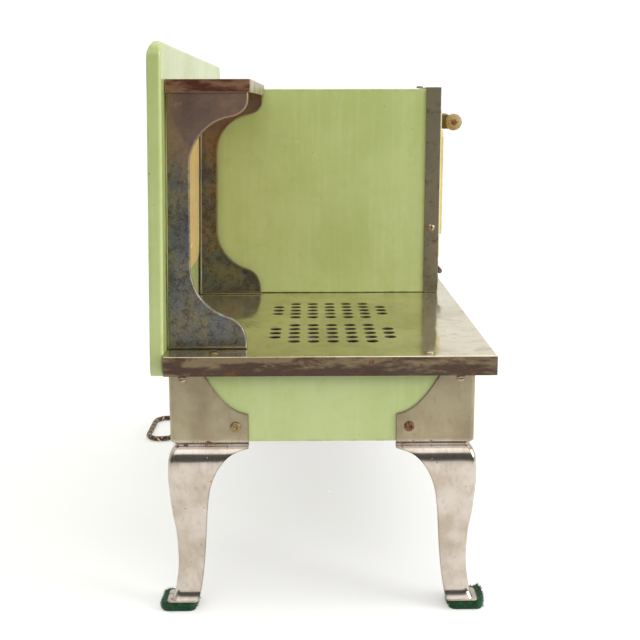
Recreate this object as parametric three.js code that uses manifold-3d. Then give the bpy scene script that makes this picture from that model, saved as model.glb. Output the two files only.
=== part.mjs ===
// A child's electric kitchen range of enamelled and nickel-plated sheet steel, on four cabriole legs.
//
// Millimetres, +Z up. The range's front (the oven door's side) faces -Y and its left end faces -X.
// While it is built, x = 0 is the cooktop's left edge, y = 0 is the cooktop's centre line and z = 0
// is the floor. The finished group is moved so that the middle of its footprint is the origin.
import * as THREE from 'three';
import { mergeVertices } from 'three/addons/utils/BufferGeometryUtils.js';
import Module from 'manifold-3d';

const wasm = await Module();
wasm.setup();

// ---------------------------------------------------------------- driving sizes

const sheet = 1.0; // thickness of every pressed sheet
const gap = 0.3; // clearance between pieces that touch
const joggle = sheet + gap; // what one sheet stands off from the sheet it overlaps

const cooktop = {
  width: 430, // both halves, end to end
  leftWidth: 217.6, // the half with the burners
  depth: 204,
  height: 169, // floor to the cooking surface
  rim: 12.3, // height of the flange that is turned down all round
};
const base = { skirt: 43.8, endInset: 6, frontInset: 12, backInset: 2, flange: 8 };
const leg = {
  plateWidth: 49.1, // the riveted corner plate, from the corner line
  plateNeck: 22.4, // its width where it goes under the rim
  plateRise: 18, // height at which its ogee ends
  neckRise: 42.5,
  cornerRadius: 3.5,
  footWidth: 15.4,
  tabPastEnd: 3, // how far the foot's tab is turned out past the range's ends
  tabPastSide: 5, // and past its front and back
};
const felt = { size: 22, thickness: 6, pastEnd: 2.5, pastSide: 8.5, radius: 4 };
const rivet = { head: 3.2, dome: 1.6, shank: 1.5, clearance: 0.2, fromEdge: 8.2, rise: 9.8, tail: 2.4 };
const burner = {
  pitch: 12.7, // hole to hole, both ways
  holeRadius: 4,
  columns: 7, // along the depth
  longRow: 5, // holes in every column but the two outer ones
  shortRow: 3,
  centres: [67.3, 146.1], // from the left end
  centreY: -2.5,
  trayWall: 4.5, // from the outermost holes' centres to the tray's wall, in holes' radii and clearance
  trayDepth: 17,
  ceramicHeight: 8,
  coilRadius: 1.6,
  coilTurns: 2.5,
};
const oven = {
  setback: 4, // from the seam between the cooktop's halves
  width: 200,
  height: 162,
  frontInset: 10.2, // from the cooktop's front edge
  trim: 11.7, // depth of the bright band round its front
  openingSide: 17, // the frame's width beside the door opening
  openingTop: 24,
  openingBottom: 34,
};
const door = {
  sideInset: 7, // from the oven's sides to the door's edge
  topInset: 13,
  bottom: 23.5, // above the cooktop
  bevel: 5,
  rise: 2.1, // how far the field stands proud of the edge
  panelRise: 3.3, // how far the cream panel stands proud of the field
  panelSide: 18,
  panelLow: 20.3, // from the door's lower edge
  panelHigh: 19.6, // from its upper edge
  panelRadius: 7,
};
const hinge = { rise: 16.5, pin: 1.1, clearance: 0.05, wall: 0.95, knuckles: 5, leafDrop: 11 };
const handle = {
  drop: 13.8, // from the door's upper edge to the grip's axis
  standOff: 19.6, // from the frame's face to it
  length: 70,
  endRadius: 7.1,
  gripRadius: 5,
  collar: 6,
  earHeight: 10,
};
const rack = { rise: 64, wire: 1.2, bars: 9, sideMargin: 4, endMargin: 9, ledge: 8 };
const element = { rise: 26, radius: 5, ribs: 8, ribDepth: 1.2, clip: 12 };
const panel = {
  rise: 186.5, // above the cooking surface
  drop: 15.5, // below it
  endInset: 6,
  depth: 8.4,
  radius: 9,
  lean: 0.023, // it leans forward by this much for each millimetre of height
};
const inset = { start: 34, end: 213, low: 31, high: 143, radius: 11, thickness: 0.6 };
const shelf = { rise: 165, lip: 7.8, start: 18.6, depth: 51.3 };
const bracket = {
  start: 20,
  footReach: 50.4, // from the back panel's face to the foot's tip
  postWidth: 14.9, // from it to the narrow middle's edge
  fold: 7, // width of the flange along its back and foot
};
const cord = {
  diameter: 5,
  sides: 8,
  exitX: 362,
  exitZ: 128,
  grommetRadius: 7.5,
  grommetOut: 6,
  coilRadius: 27, // to the middle of its turns
  coilColumns: 2,
  coilLayers: 3,
  coilCentre: [396, 32],
};
const plug = {
  radius: 12.5,
  length: 24, // from the end of its neck to its face
  neckRadius: 4.2,
  neck: 12,
  x: 400,
  y: -18, // where the cord goes in
  blade: { thickness: 1.5, width: 6.3, length: 16, pitch: 12.7 },
};

// ---------------------------------------------------------------- what follows from them

const surfaceZ = cooktop.height;
const undersideZ = surfaceZ - sheet;
const rimZ = surfaceZ - cooktop.rim;
const skirtZ = rimZ - base.skirt;
const frontY = -cooktop.depth / 2;
const backY = cooktop.depth / 2;
const skirtBox = {
  x0: base.endInset,
  x1: cooktop.width - base.endInset,
  y0: frontY + base.frontInset,
  y1: backY - base.backInset,
};
const panelFaceY = backY + gap; // where the back panel's front meets the cooktop's height
const ovenX0 = cooktop.leftWidth + oven.setback;
const ovenX1 = ovenX0 + oven.width;
const ovenZ0 = surfaceZ + gap;
const ovenZ1 = ovenZ0 + oven.height;
const ovenFaceY = frontY + oven.frontInset;
const ovenBackY = panelFaceY - panel.lean * (ovenZ1 - surfaceZ) - gap;
const hingeY = ovenFaceY - gap - hinge.pin - hinge.clearance - hinge.wall;
const hingeZ = surfaceZ + hinge.rise;
const doorBackY = ovenFaceY - gap;

// ---------------------------------------------------------------- geometry helpers

function box(x0, x1, y0, y1, z0, z1) {
  const geometry = new THREE.BoxGeometry(x1 - x0, y1 - y0, z1 - z0);
  return geometry.translate((x0 + x1) / 2, (y0 + y1) / 2, (z0 + z1) / 2);
}

function span(a, b) {
  return [Math.min(a, b), Math.max(a, b)];
}

function roundedRect(u0, u1, v0, v1, radius) {
  const shape = new THREE.Shape();
  shape.moveTo(u0 + radius, v0);
  shape.lineTo(u1 - radius, v0);
  shape.absarc(u1 - radius, v0 + radius, radius, -Math.PI / 2, 0);
  shape.lineTo(u1, v1 - radius);
  shape.absarc(u1 - radius, v1 - radius, radius, 0, Math.PI / 2);
  shape.lineTo(u0 + radius, v1);
  shape.absarc(u0 + radius, v1 - radius, radius, Math.PI / 2, Math.PI);
  shape.lineTo(u0, v0 + radius);
  shape.absarc(u0 + radius, v0 + radius, radius, Math.PI, 1.5 * Math.PI);
  return shape;
}

function extrude(shape, depth, curveSegments = 3) {
  return new THREE.ExtrudeGeometry(shape, { depth, bevelEnabled: false, curveSegments });
}

// A shape drawn in (x, y), standing from z0 to z1.
function extrudeZ(shape, z0, z1, curveSegments) {
  return extrude(shape, z1 - z0, curveSegments).translate(0, 0, z0);
}

// A shape drawn in (y, z), reaching from x0 to x1.
function extrudeX(shape, x0, x1, curveSegments) {
  const turn = new THREE.Matrix4().makeBasis(
    new THREE.Vector3(0, 1, 0),
    new THREE.Vector3(0, 0, 1),
    new THREE.Vector3(1, 0, 0),
  );
  return extrude(shape, x1 - x0, curveSegments).applyMatrix4(turn).translate(x0, 0, 0);
}

// A shape drawn in (x, z), reaching from y0 to y1.
function extrudeY(shape, y0, y1, curveSegments) {
  const turn = new THREE.Matrix4().makeBasis(
    new THREE.Vector3(1, 0, 0),
    new THREE.Vector3(0, 0, 1),
    new THREE.Vector3(0, -1, 0),
  );
  return extrude(shape, y1 - y0, curveSegments).applyMatrix4(turn).translate(0, y1, 0);
}

function polygon(points) {
  return new THREE.Shape(points.map(([u, v]) => new THREE.Vector2(u, v)));
}

function cylinderX(radius, x0, x1, y, z, sides = 24) {
  const geometry = new THREE.CylinderGeometry(radius, radius, x1 - x0, sides);
  return geometry.rotateZ(-Math.PI / 2).translate((x0 + x1) / 2, y, z);
}

function cylinderY(radius, y0, y1, x, z, sides = 16) {
  const geometry = new THREE.CylinderGeometry(radius, radius, y1 - y0, sides);
  return geometry.translate(x, (y0 + y1) / 2, z);
}

function cylinderZ(radius, z0, z1, x, y, sides = 12) {
  const geometry = new THREE.CylinderGeometry(radius, radius, z1 - z0, sides);
  return geometry.rotateX(Math.PI / 2).translate(x, y, (z0 + z1) / 2);
}

// A profile of [radius, distance] points turned about an axis that points along `direction`.
function turned(profile, start, direction, segments = 20) {
  const points = profile.map(([radius, along]) => new THREE.Vector2(radius, along));
  const turn = new THREE.Quaternion().setFromUnitVectors(
    new THREE.Vector3(0, 1, 0),
    new THREE.Vector3(...direction).normalize(),
  );
  return new THREE.LatheGeometry(points, segments).applyQuaternion(turn).translate(...start);
}

// A bar of pyramid-like section: a rectangle in (x, z) at y0 that shrinks by `bevel` towards y1.
function bevelledPlate(x0, x1, z0, z1, bevel, y0, y1) {
  const corners = (inset, y) => [
    [x0 + inset, y, z0 + inset],
    [x1 - inset, y, z0 + inset],
    [x1 - inset, y, z1 - inset],
    [x0 + inset, y, z1 - inset],
  ];
  return loft([corners(0, y0), corners(bevel, y1)]);
}

// Joins rings of equally many points into one closed solid, with a flat cap at each end.
function loft(rings) {
  const count = rings[0].length;
  const index = [];
  for (let ring = 0; ring + 1 < rings.length; ring += 1) {
    for (let i = 0; i < count; i += 1) {
      const a = ring * count + i;
      const b = ring * count + ((i + 1) % count);
      index.push(a, b, b + count, a, b + count, a + count);
    }
  }
  const first = rings[0].map((p) => new THREE.Vector3(...p));
  const plane = capPlane(first);
  const contour = first.map((p) => new THREE.Vector2(p.dot(plane.u), p.dot(plane.v)));
  const last = (rings.length - 1) * count;
  for (const [a, b, c] of THREE.ShapeUtils.triangulateShape(contour, [])) {
    index.push(a, c, b, last + a, last + b, last + c);
  }
  const geometry = new THREE.BufferGeometry();
  geometry.setAttribute('position', new THREE.Float32BufferAttribute(rings.flat(2), 3));
  geometry.setIndex(index);
  return geometry;
}

// Two unit vectors in the plane of a ring of points, turning the way the ring does.
function capPlane(points) {
  const normal = new THREE.Vector3();
  points.forEach((p, i) => {
    normal.add(new THREE.Vector3().crossVectors(p, points[(i + 1) % points.length]));
  });
  normal.normalize();
  const u = new THREE.Vector3().subVectors(points[1], points[0]).normalize();
  const v = new THREE.Vector3().crossVectors(normal, u);
  return { u, v };
}

function solid(geometry) {
  if (geometry instanceof wasm.Manifold) return geometry;
  const plain = geometry.clone();
  plain.deleteAttribute('normal');
  plain.deleteAttribute('uv');
  const merged = mergeVertices(plain, 1e-4);
  const vertProperties = Float32Array.from(merged.attributes.position.array);
  const triVerts = Uint32Array.from(merged.index.array);
  return new wasm.Manifold(new wasm.Mesh({ numProp: 3, vertProperties, triVerts }));
}

function union(...pieces) {
  return pieces.map(solid).reduce((sum, piece) => sum.add(piece));
}

function cut(from, ...tools) {
  return tools.map(solid).reduce((rest, tool) => rest.subtract(tool), solid(from));
}

function toGeometry(shape) {
  const mesh = solid(shape).getMesh();
  const geometry = new THREE.BufferGeometry();
  geometry.setAttribute('position', new THREE.Float32BufferAttribute(Array.from(mesh.vertProperties), 3));
  geometry.setIndex(Array.from(mesh.triVerts));
  geometry.computeVertexNormals();
  return geometry;
}

// The back panel and what is fixed to it lean forward as they rise from the cooking surface.
function leaning(shape) {
  const geometry = toGeometry(shape);
  const position = geometry.attributes.position;
  for (let i = 0; i < position.count; i += 1) {
    position.setY(i, position.getY(i) - panel.lean * (position.getZ(i) - surfaceZ));
  }
  return geometry;
}

// ---------------------------------------------------------------- finishes

function finish(color, roughness, metalness) {
  return new THREE.MeshStandardMaterial({ color, roughness, metalness });
}

const finishes = {
  green: finish(0xa4bf78, 0.35, 0.0),
  cream: finish(0xe8cc94, 0.4, 0.0),
  nickel: finish(0x8a8278, 0.35, 0.9),
  tarnished: finish(0x5d5850, 0.45, 0.85),
  bright: finish(0xb5aea3, 0.25, 1.0),
  steel: finish(0x77746e, 0.4, 0.9),
  wood: finish(0x7a6338, 0.6, 0.0),
  felt: finish(0x1f5a30, 0.95, 0.0),
  ceramic: finish(0xd8d2c4, 0.7, 0.0),
  wire: finish(0x6f6a64, 0.4, 0.9),
  bakelite: finish(0x2a1c16, 0.4, 0.0),
  brass: finish(0xb08d4a, 0.35, 0.9),
  braid: finish(0x4a3426, 0.9, 0.0),
};

const range = new THREE.Group();

function add(name, shape, material) {
  const geometry = shape instanceof THREE.BufferGeometry ? shape : toGeometry(shape);
  const mesh = new THREE.Mesh(geometry, material);
  mesh.name = name;
  range.add(mesh);
  return mesh;
}

// ---------------------------------------------------------------- cooktop

// A plate with its edges turned down. The edge at the seam stays open.
function turnedDownPlate(x0, x1, seamAtHighX) {
  const outer = box(x0, x1, frontY, backY, rimZ, surfaceZ);
  const innerX0 = seamAtHighX ? x0 + sheet : x0 - sheet;
  const innerX1 = seamAtHighX ? x1 + sheet : x1 - sheet;
  return cut(outer, box(innerX0, innerX1, frontY + sheet, backY - sheet, rimZ - sheet, undersideZ));
}

function burnerHoles(centreX) {
  const holes = [];
  for (let column = 0; column < burner.columns; column += 1) {
    const outerColumn = column === 0 || column === burner.columns - 1;
    const count = outerColumn ? burner.shortRow : burner.longRow;
    const y = burner.centreY + (column - (burner.columns - 1) / 2) * burner.pitch;
    for (let row = 0; row < count; row += 1) {
      const x = centreX + (row - (count - 1) / 2) * burner.pitch;
      holes.push(cylinderZ(burner.holeRadius, undersideZ - sheet, surfaceZ + sheet, x, y));
    }
  }
  return holes;
}

function cooktopPlate() {
  const plate = turnedDownPlate(0, cooktop.leftWidth - gap / 2, true);
  return cut(plate, ...burner.centres.flatMap(burnerHoles));
}

function ovenBasePlate() {
  return turnedDownPlate(cooktop.leftWidth + gap / 2, cooktop.width, false);
}

// ---------------------------------------------------------------- burners

const burnerHalf = {
  x: ((burner.longRow - 1) / 2) * burner.pitch + burner.trayWall + sheet,
  y: ((burner.columns - 1) / 2) * burner.pitch + burner.trayWall + sheet,
};

function burnerTray(centreX) {
  const z1 = undersideZ - gap;
  const z0 = z1 - burner.trayDepth;
  const y = burner.centreY;
  const { x: halfX, y: halfY } = burnerHalf;
  const outer = extrudeZ(roundedRect(centreX - halfX, centreX + halfX, y - halfY, y + halfY, 6), z0, z1);
  const innerX = halfX - sheet;
  const innerY = halfY - sheet;
  const inner = roundedRect(centreX - innerX, centreX + innerX, y - innerY, y + innerY, 5);
  return cut(outer, extrudeZ(inner, z0 + sheet, z1 + sheet));
}

const ceramicZ0 = undersideZ - gap - burner.trayDepth + sheet + gap;
const ceramicZ1 = ceramicZ0 + burner.ceramicHeight;

function burnerCeramic(centreX) {
  const halfX = burnerHalf.x - sheet - gap - 1;
  const halfY = burnerHalf.y - sheet - gap - 1;
  const y = burner.centreY;
  const outline = roundedRect(centreX - halfX, centreX + halfX, y - halfY, y + halfY, 5);
  return extrudeZ(outline, ceramicZ0, ceramicZ1);
}

// A flat spiral of heating wire that lies on the ceramic.
class Spiral extends THREE.Curve {
  constructor(centre, innerRadius, outerRadius, turns, stretch) {
    super();
    Object.assign(this, { centre, innerRadius, outerRadius, turns, stretch });
  }

  getPoint(t, target = new THREE.Vector3()) {
    const angle = t * this.turns * 2 * Math.PI;
    const radius = this.innerRadius + (this.outerRadius - this.innerRadius) * t;
    const { x, y, z } = this.centre;
    return target.set(x + radius * Math.cos(angle), y + this.stretch * radius * Math.sin(angle), z);
  }
}

function roundBar(curve, radius, sides, steps) {
  const section = new THREE.Shape();
  section.absarc(0, 0, radius, 0, 2 * Math.PI);
  return new THREE.ExtrudeGeometry(section, {
    extrudePath: curve,
    steps,
    curveSegments: sides / 2,
    bevelEnabled: false,
  });
}

function burnerCoil(centreX) {
  const centre = new THREE.Vector3(centreX, burner.centreY, ceramicZ1 + gap + burner.coilRadius);
  const outerRadius = burnerHalf.x - sheet - 3 * burner.coilRadius;
  const stretch = (burnerHalf.y - sheet - 3 * burner.coilRadius) / outerRadius;
  const spiral = new Spiral(centre, outerRadius / 4, outerRadius, burner.coilTurns, stretch);
  return roundBar(spiral, burner.coilRadius, 6, 36);
}

// ---------------------------------------------------------------- base and legs

const apron = {
  x0: skirtBox.x0 + joggle,
  x1: skirtBox.x1 - joggle,
  y0: skirtBox.y0 + joggle,
  y1: skirtBox.y1 - joggle,
  z1: undersideZ - gap,
};
// The aprons stop where the corner plates' bend begins.
const bend = leg.cornerRadius;

// Rivets sit on both wings of a corner plate, this far along from the corner.
const rivetReach = leg.plateWidth - rivet.fromEdge;
const rivetZ = skirtZ + rivet.rise;
const rivetHole = rivet.shank + rivet.clearance;

function longApron(outerY, inwards) {
  const wallY = outerY + inwards * sheet;
  const flangeY = outerY + inwards * base.flange;
  const [x0, x1] = [skirtBox.x0 + bend, skirtBox.x1 - bend];
  const wall = box(x0, x1, ...span(outerY, wallY), skirtZ, apron.z1);
  const flange = box(x0, x1, ...span(outerY, flangeY), skirtZ, skirtZ + sheet);
  const holes = [skirtBox.x0 + rivetReach, skirtBox.x1 - rivetReach].map((x) =>
    cylinderY(rivetHole, outerY - 2 * sheet, outerY + 2 * sheet, x, rivetZ, 8),
  );
  return cut(union(wall, flange), ...holes);
}

function shortApron(outerX, inwards) {
  const y0 = skirtBox.y0 + bend;
  const y1 = skirtBox.y1 - bend;
  const wall = box(...span(outerX, outerX + inwards * sheet), y0, y1, skirtZ, apron.z1);
  const holes = [skirtBox.y0 + rivetReach, skirtBox.y1 - rivetReach].map((y) =>
    cylinderX(rivetHole, outerX - 2 * sheet, outerX + 2 * sheet, y, rivetZ, 8),
  );
  return cut(wall, ...holes);
}

function baseBack() {
  const plain = longApron(apron.y1, -1);
  const hole = cylinderY(cord.grommetRadius - 2, apron.y1 - 3, apron.y1 + 3, cord.exitX, cord.exitZ, 16);
  return cut(plain, hole);
}

function baseBottom() {
  const z0 = skirtZ + joggle; // it rests on the long aprons' flanges
  const x0 = apron.x0 + joggle;
  const x1 = apron.x1 - joggle;
  return box(x0, x1, apron.y0 + joggle, apron.y1 - joggle, z0, z0 + sheet);
}

// The leg's inner edge, as [width from the corner line, share of the height from foot to skirt].
const wingEdge = new THREE.SplineCurve(
  [
    [15.4, 0.01],
    [17.5, 0.09],
    [19.6, 0.24],
    [21.0, 0.4],
    [22.4, 0.57],
    [24.0, 0.69],
    [27.0, 0.785],
    [32.0, 0.866],
    [38.5, 0.923],
    [48.9, 0.956],
  ].map(([width, share]) => new THREE.Vector2(width, share)),
);

// How far the leg's face stands out from the corner plate's face, at shares of the same height.
const kneeLine = new THREE.SplineCurve(
  [
    [0.0, 0.0],
    [-0.8, 0.09],
    [-2.4, 0.25],
    [-2.0, 0.38],
    [0.2, 0.55],
    [1.5, 0.69],
    [2.1, 0.785],
    [1.9, 0.856],
    [0.4, 0.933],
    [-2.6, 0.971],
  ].map(([out, share]) => new THREE.Vector2(out, share)),
);

function alongCurve(points, share) {
  const high = points.findIndex((p) => p.y >= share);
  if (high <= 0) return high === 0 ? points[0].x : points[points.length - 1].x;
  const [a, b] = [points[high - 1], points[high]];
  return a.x + ((b.x - a.x) * (share - a.y)) / (b.y - a.y);
}

// An angle section: two wings of sheet that meet in a rounded corner, seen from above.
function angleRing(out, reach, z) {
  const arc = 2;
  const radius = leg.cornerRadius;
  const ring = [[reach, -out, z], [reach, sheet - out, z]];
  const centre = radius - out;
  for (let i = 0; i <= arc; i += 1) {
    const angle = 1.5 * Math.PI - (i / arc) * (Math.PI / 2);
    const inner = radius - sheet;
    ring.push([centre + inner * Math.cos(angle), centre + inner * Math.sin(angle), z]);
  }
  ring.push([sheet - out, reach, z], [-out, reach, z]);
  for (let i = 0; i <= arc; i += 1) {
    const angle = Math.PI + (i / arc) * (Math.PI / 2);
    ring.push([centre + radius * Math.cos(angle), centre + radius * Math.sin(angle), z]);
  }
  return ring;
}

// One leg, with its corner at the origin, its wings along +x and +y and z measured from the floor.
function legSolid() {
  const footZ = felt.thickness + gap;
  const plateTop = undersideZ - gap;
  const height = skirtZ - footZ;
  const knee = kneeLine.getPoints(60);
  const rings = wingEdge.getPoints(20).map(({ x: reach, y: share }) =>
    angleRing(alongCurve(knee, share), reach, footZ + share * height),
  );
  rings.unshift(angleRing(0, leg.footWidth, footZ));
  rings.push(angleRing(-2.6, leg.plateWidth, skirtZ - 2.2));
  rings.push(angleRing(0, leg.plateWidth, skirtZ));
  rings.push(angleRing(0, leg.plateWidth, plateTop));

  const ogee = new THREE.Shape();
  ogee.moveTo(leg.plateWidth + 2, skirtZ + leg.plateRise);
  ogee.lineTo(leg.plateWidth, skirtZ + leg.plateRise);
  ogee.bezierCurveTo(
    leg.plateWidth - 11, skirtZ + leg.plateRise + 1,
    leg.plateNeck + 8, skirtZ + leg.neckRise - 13,
    leg.plateNeck, skirtZ + leg.neckRise,
  );
  ogee.lineTo(leg.plateNeck, plateTop + 1);
  ogee.lineTo(leg.plateWidth + 2, plateTop + 1);
  const acrossFront = extrudeY(ogee, -2 * sheet, 2 * sheet, 8);
  const acrossEnd = extrudeX(ogee, -2 * sheet, 2 * sheet, 8);

  const tabOutline = roundedRect(-leg.tabPastEnd, leg.footWidth, -leg.tabPastSide, leg.footWidth, 3);
  const tab = extrudeZ(tabOutline, footZ, footZ + sheet);
  const inside = box(sheet, leg.footWidth + 1, sheet, leg.footWidth + 1, footZ - 1, footZ + 2 * sheet);
  const frontHole = cylinderY(rivetHole, -2 * sheet, 2 * sheet, rivetReach, rivetZ, 8);
  const endHole = cylinderX(rivetHole, -2 * sheet, 2 * sheet, rivetReach, rivetZ, 8);
  return cut(union(loft(rings), cut(tab, inside)), acrossFront, acrossEnd, frontHole, endHole);
}

const corners = {
  front_left: { x: skirtBox.x0, y: skirtBox.y0, turnX: 1, turnY: 1 },
  front_right: { x: skirtBox.x1, y: skirtBox.y0, turnX: -1, turnY: 1 },
  back_left: { x: skirtBox.x0, y: skirtBox.y1, turnX: 1, turnY: -1 },
  back_right: { x: skirtBox.x1, y: skirtBox.y1, turnX: -1, turnY: -1 },
};

// Puts a solid that is drawn at the origin's corner onto one of the four corners.
function atCorner(shape, { x, y, turnX, turnY }) {
  return solid(shape).scale([turnX, turnY, 1]).translate([x, y, 0]);
}

function feltPad() {
  const x0 = -felt.pastEnd;
  const y0 = -felt.pastSide;
  return extrudeZ(roundedRect(x0, x0 + felt.size, y0, y0 + felt.size, felt.radius), 0, felt.thickness);
}

// A rivet through a corner plate and the apron behind it; `along` runs out of its head.
function rivetSolid(start, along) {
  const through = sheet + gap + sheet + gap;
  return turned(
    [
      [0, rivet.dome],
      [rivet.head * 0.55, rivet.dome * 0.82],
      [rivet.head * 0.9, rivet.dome * 0.35],
      [rivet.head, gap],
      [rivet.shank, gap],
      [rivet.shank, -through],
      [rivet.tail, -through],
      [rivet.tail, -through - sheet],
      [0, -through - sheet],
    ].reverse(),
    start,
    along,
    8,
  );
}

// ---------------------------------------------------------------- oven

function ovenWrap() {
  const y0 = ovenFaceY + joggle;
  const outer = box(ovenX0, ovenX1, y0, ovenBackY - joggle, ovenZ0, ovenZ1);
  return cut(outer, box(ovenX0 + sheet, ovenX1 - sheet, y0 - 1, ovenBackY, ovenZ0 - 1, ovenZ1 - sheet));
}

function ovenBack() {
  return box(ovenX0, ovenX1, ovenBackY - sheet, ovenBackY, ovenZ0, ovenZ1);
}

function ovenFloor() {
  const x0 = ovenX0 + joggle;
  const x1 = ovenX1 - joggle;
  return box(x0, x1, ovenFaceY + joggle + gap, ovenBackY - joggle - gap, ovenZ0, ovenZ0 + sheet);
}

const opening = {
  x0: ovenX0 + oven.openingSide,
  x1: ovenX1 - oven.openingSide,
  z0: ovenZ0 + oven.openingBottom,
  z1: ovenZ1 - oven.openingTop,
};

function ovenFrontFrame() {
  const x0 = ovenX0 - joggle;
  const x1 = ovenX1 + joggle;
  const z1 = ovenZ1 + joggle;
  const outer = box(x0, x1, ovenFaceY, ovenFaceY + oven.trim, ovenZ0, z1);
  const inner = box(
    x0 + sheet, x1 - sheet, ovenFaceY + sheet, ovenFaceY + oven.trim + 1, ovenZ0 - 1, z1 - sheet,
  );
  const hole = box(opening.x0, opening.x1, ovenFaceY - 1, ovenFaceY + 3, opening.z0, opening.z1);
  return cut(outer, inner, hole);
}

const rackZ = surfaceZ + rack.rise;

function rackLedge(side) {
  const wallX = side < 0 ? ovenX0 + joggle : ovenX1 - joggle;
  const stemX = wallX - side * sheet;
  const tipX = wallX - side * rack.ledge;
  const y0 = ovenFaceY + oven.trim;
  const y1 = ovenBackY - oven.trim;
  const z1 = rackZ - rack.wire - gap;
  const stem = box(...span(wallX, stemX), y0, y1, z1 - rack.ledge, z1);
  return union(stem, box(...span(wallX, tipX), y0, y1, z1 - sheet, z1));
}

function ovenRack() {
  const x0 = ovenX0 + joggle + rack.sideMargin;
  const x1 = ovenX1 - joggle - rack.sideMargin;
  const y0 = ovenFaceY + rack.endMargin;
  const y1 = ovenBackY - rack.endMargin;
  const runners = [x0, (x0 + x1) / 2, x1].map((x) => cylinderY(rack.wire, y0, y1, x, rackZ, 6));
  const bars = [];
  for (let i = 0; i < rack.bars; i += 1) {
    const y = y0 + rack.wire * 2 + (i / (rack.bars - 1)) * (y1 - y0 - rack.wire * 4);
    bars.push(cylinderX(rack.wire, x0 - rack.wire, x1 + rack.wire, y, rackZ, 6));
  }
  return union(...runners, ...bars);
}

const elementX0 = ovenX0 + oven.openingSide + 6;
const elementX1 = ovenX1 - oven.openingSide - 6;
const elementY = (ovenFaceY + ovenBackY) / 2;
const elementZ = surfaceZ + element.rise;

// A ceramic rod, grooved for the heating wire that is wound round it.
function ovenElement() {
  const length = elementX1 - elementX0;
  const neck = element.radius - element.ribDepth;
  const profile = [[0, 0], [element.radius, 0]];
  const step = (length - 2 * element.clip) / element.ribs;
  for (let i = 0; i < element.ribs; i += 1) {
    const start = element.clip + i * step;
    profile.push([element.radius, start], [neck, start + step * 0.25]);
    profile.push([neck, start + step * 0.75], [element.radius, start + step]);
  }
  profile.push([element.radius, length], [0, length]);
  return turned(profile, [elementX0, elementY, elementZ], [1, 0, 0], 8);
}

// A strap that stands on the oven's floor and holds one end of the ceramic rod.
function elementClip(x) {
  const half = element.clip / 4;
  const wide = element.radius + 4;
  const outline = roundedRect(elementY - wide, elementY + wide, ovenZ0 + joggle, elementZ + wide, 3);
  const ring = extrudeX(outline, x - half, x + half, 3);
  return cut(ring, cylinderX(element.radius + gap, x - half - 1, x + half + 1, elementY, elementZ, 16));
}

// ---------------------------------------------------------------- door

const doorBox = {
  x0: ovenX0 + door.sideInset,
  x1: ovenX1 - door.sideInset,
  z0: surfaceZ + door.bottom,
  z1: ovenZ1 - door.topInset,
};
const fieldY = doorBackY - door.rise;

const knuckleStep = (doorBox.x1 - doorBox.x0) / hinge.knuckles;
const knuckleRadius = hinge.pin + hinge.clearance + hinge.wall;

function knuckleSpan(i) {
  return [doorBox.x0 + i * knuckleStep + gap / 2, doorBox.x0 + (i + 1) * knuckleStep - gap / 2];
}

// Rolled tubes round the pin: even ones belong to the door, odd ones to the leaf under it.
function knuckle(i, tailZ) {
  const [x0, x1] = knuckleSpan(i);
  const tail = box(x0, x1, doorBackY - sheet, doorBackY, ...span(hingeZ, tailZ));
  return union(cylinderX(knuckleRadius, x0, x1, hingeY, hingeZ, 20), tail);
}

const pinBore = cylinderX(
  hinge.pin + hinge.clearance, doorBox.x0 - 1, doorBox.x1 + 1, hingeY, hingeZ, 24,
);

function ovenDoor() {
  const { x0, x1, z0, z1 } = doorBox;
  const skin = bevelledPlate(x0, x1, z0, z1, door.bevel, doorBackY, fieldY);
  const hollow = bevelledPlate(x0 + 2, x1 - 2, z0 + 2, z1 - 2, door.bevel, doorBackY + 0.01, fieldY + sheet);
  const rolled = [];
  for (let i = 0; i < hinge.knuckles; i += 2) rolled.push(knuckle(i, z0 + 1));
  return cut(union(cut(skin, hollow), ...rolled), pinBore);
}

function hingeLeaf() {
  const low = hingeZ - hinge.leafDrop;
  const high = hingeZ - knuckleRadius - 2 * gap;
  const strip = box(doorBox.x0, doorBox.x1, doorBackY - sheet, doorBackY, low, high);
  const rolled = [];
  for (let i = 1; i < hinge.knuckles; i += 2) rolled.push(knuckle(i, low + 1));
  return cut(union(strip, ...rolled), pinBore);
}

function hingePin() {
  return cylinderX(hinge.pin, doorBox.x0, doorBox.x1, hingeY, hingeZ, 24);
}

// What is fixed to the door's face starts this far forward.
const fixedY = fieldY - gap;

// A shallow pan with its open side against the door.
function doorPanel() {
  const outline = (inset) =>
    roundedRect(
      doorBox.x0 + door.panelSide + inset,
      doorBox.x1 - door.panelSide - inset,
      doorBox.z0 + door.panelLow + inset,
      doorBox.z1 - door.panelHigh - inset,
      door.panelRadius - inset,
    );
  const faceY = fieldY - door.panelRise;
  const outer = extrudeY(outline(0), faceY, fixedY, 4);
  return cut(outer, extrudeY(outline(sheet), faceY + sheet, fixedY + 1, 4));
}

const gripX = (doorBox.x0 + doorBox.x1) / 2;
const gripY = ovenFaceY - handle.standOff;
const gripZ = doorBox.z1 - handle.drop;

// A turned grip: a thinner middle between two domed ends.
function handleGrip() {
  const { length, endRadius, gripRadius, collar } = handle;
  const end = (at, sign) => [
    [0, at],
    [endRadius * 0.62, at + sign * 0.7],
    [endRadius * 0.93, at + sign * 2.2],
    [endRadius, at + sign * 3.6],
    [endRadius * 0.93, at + sign * (collar - 0.6)],
    [gripRadius, at + sign * collar],
  ];
  const profile = [...end(0, 1), [gripRadius * 1.1, length / 2], ...end(length, -1).reverse()];
  return turned(profile, [gripX - length / 2, gripY, gripZ], [1, 0, 0], 16);
}

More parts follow.
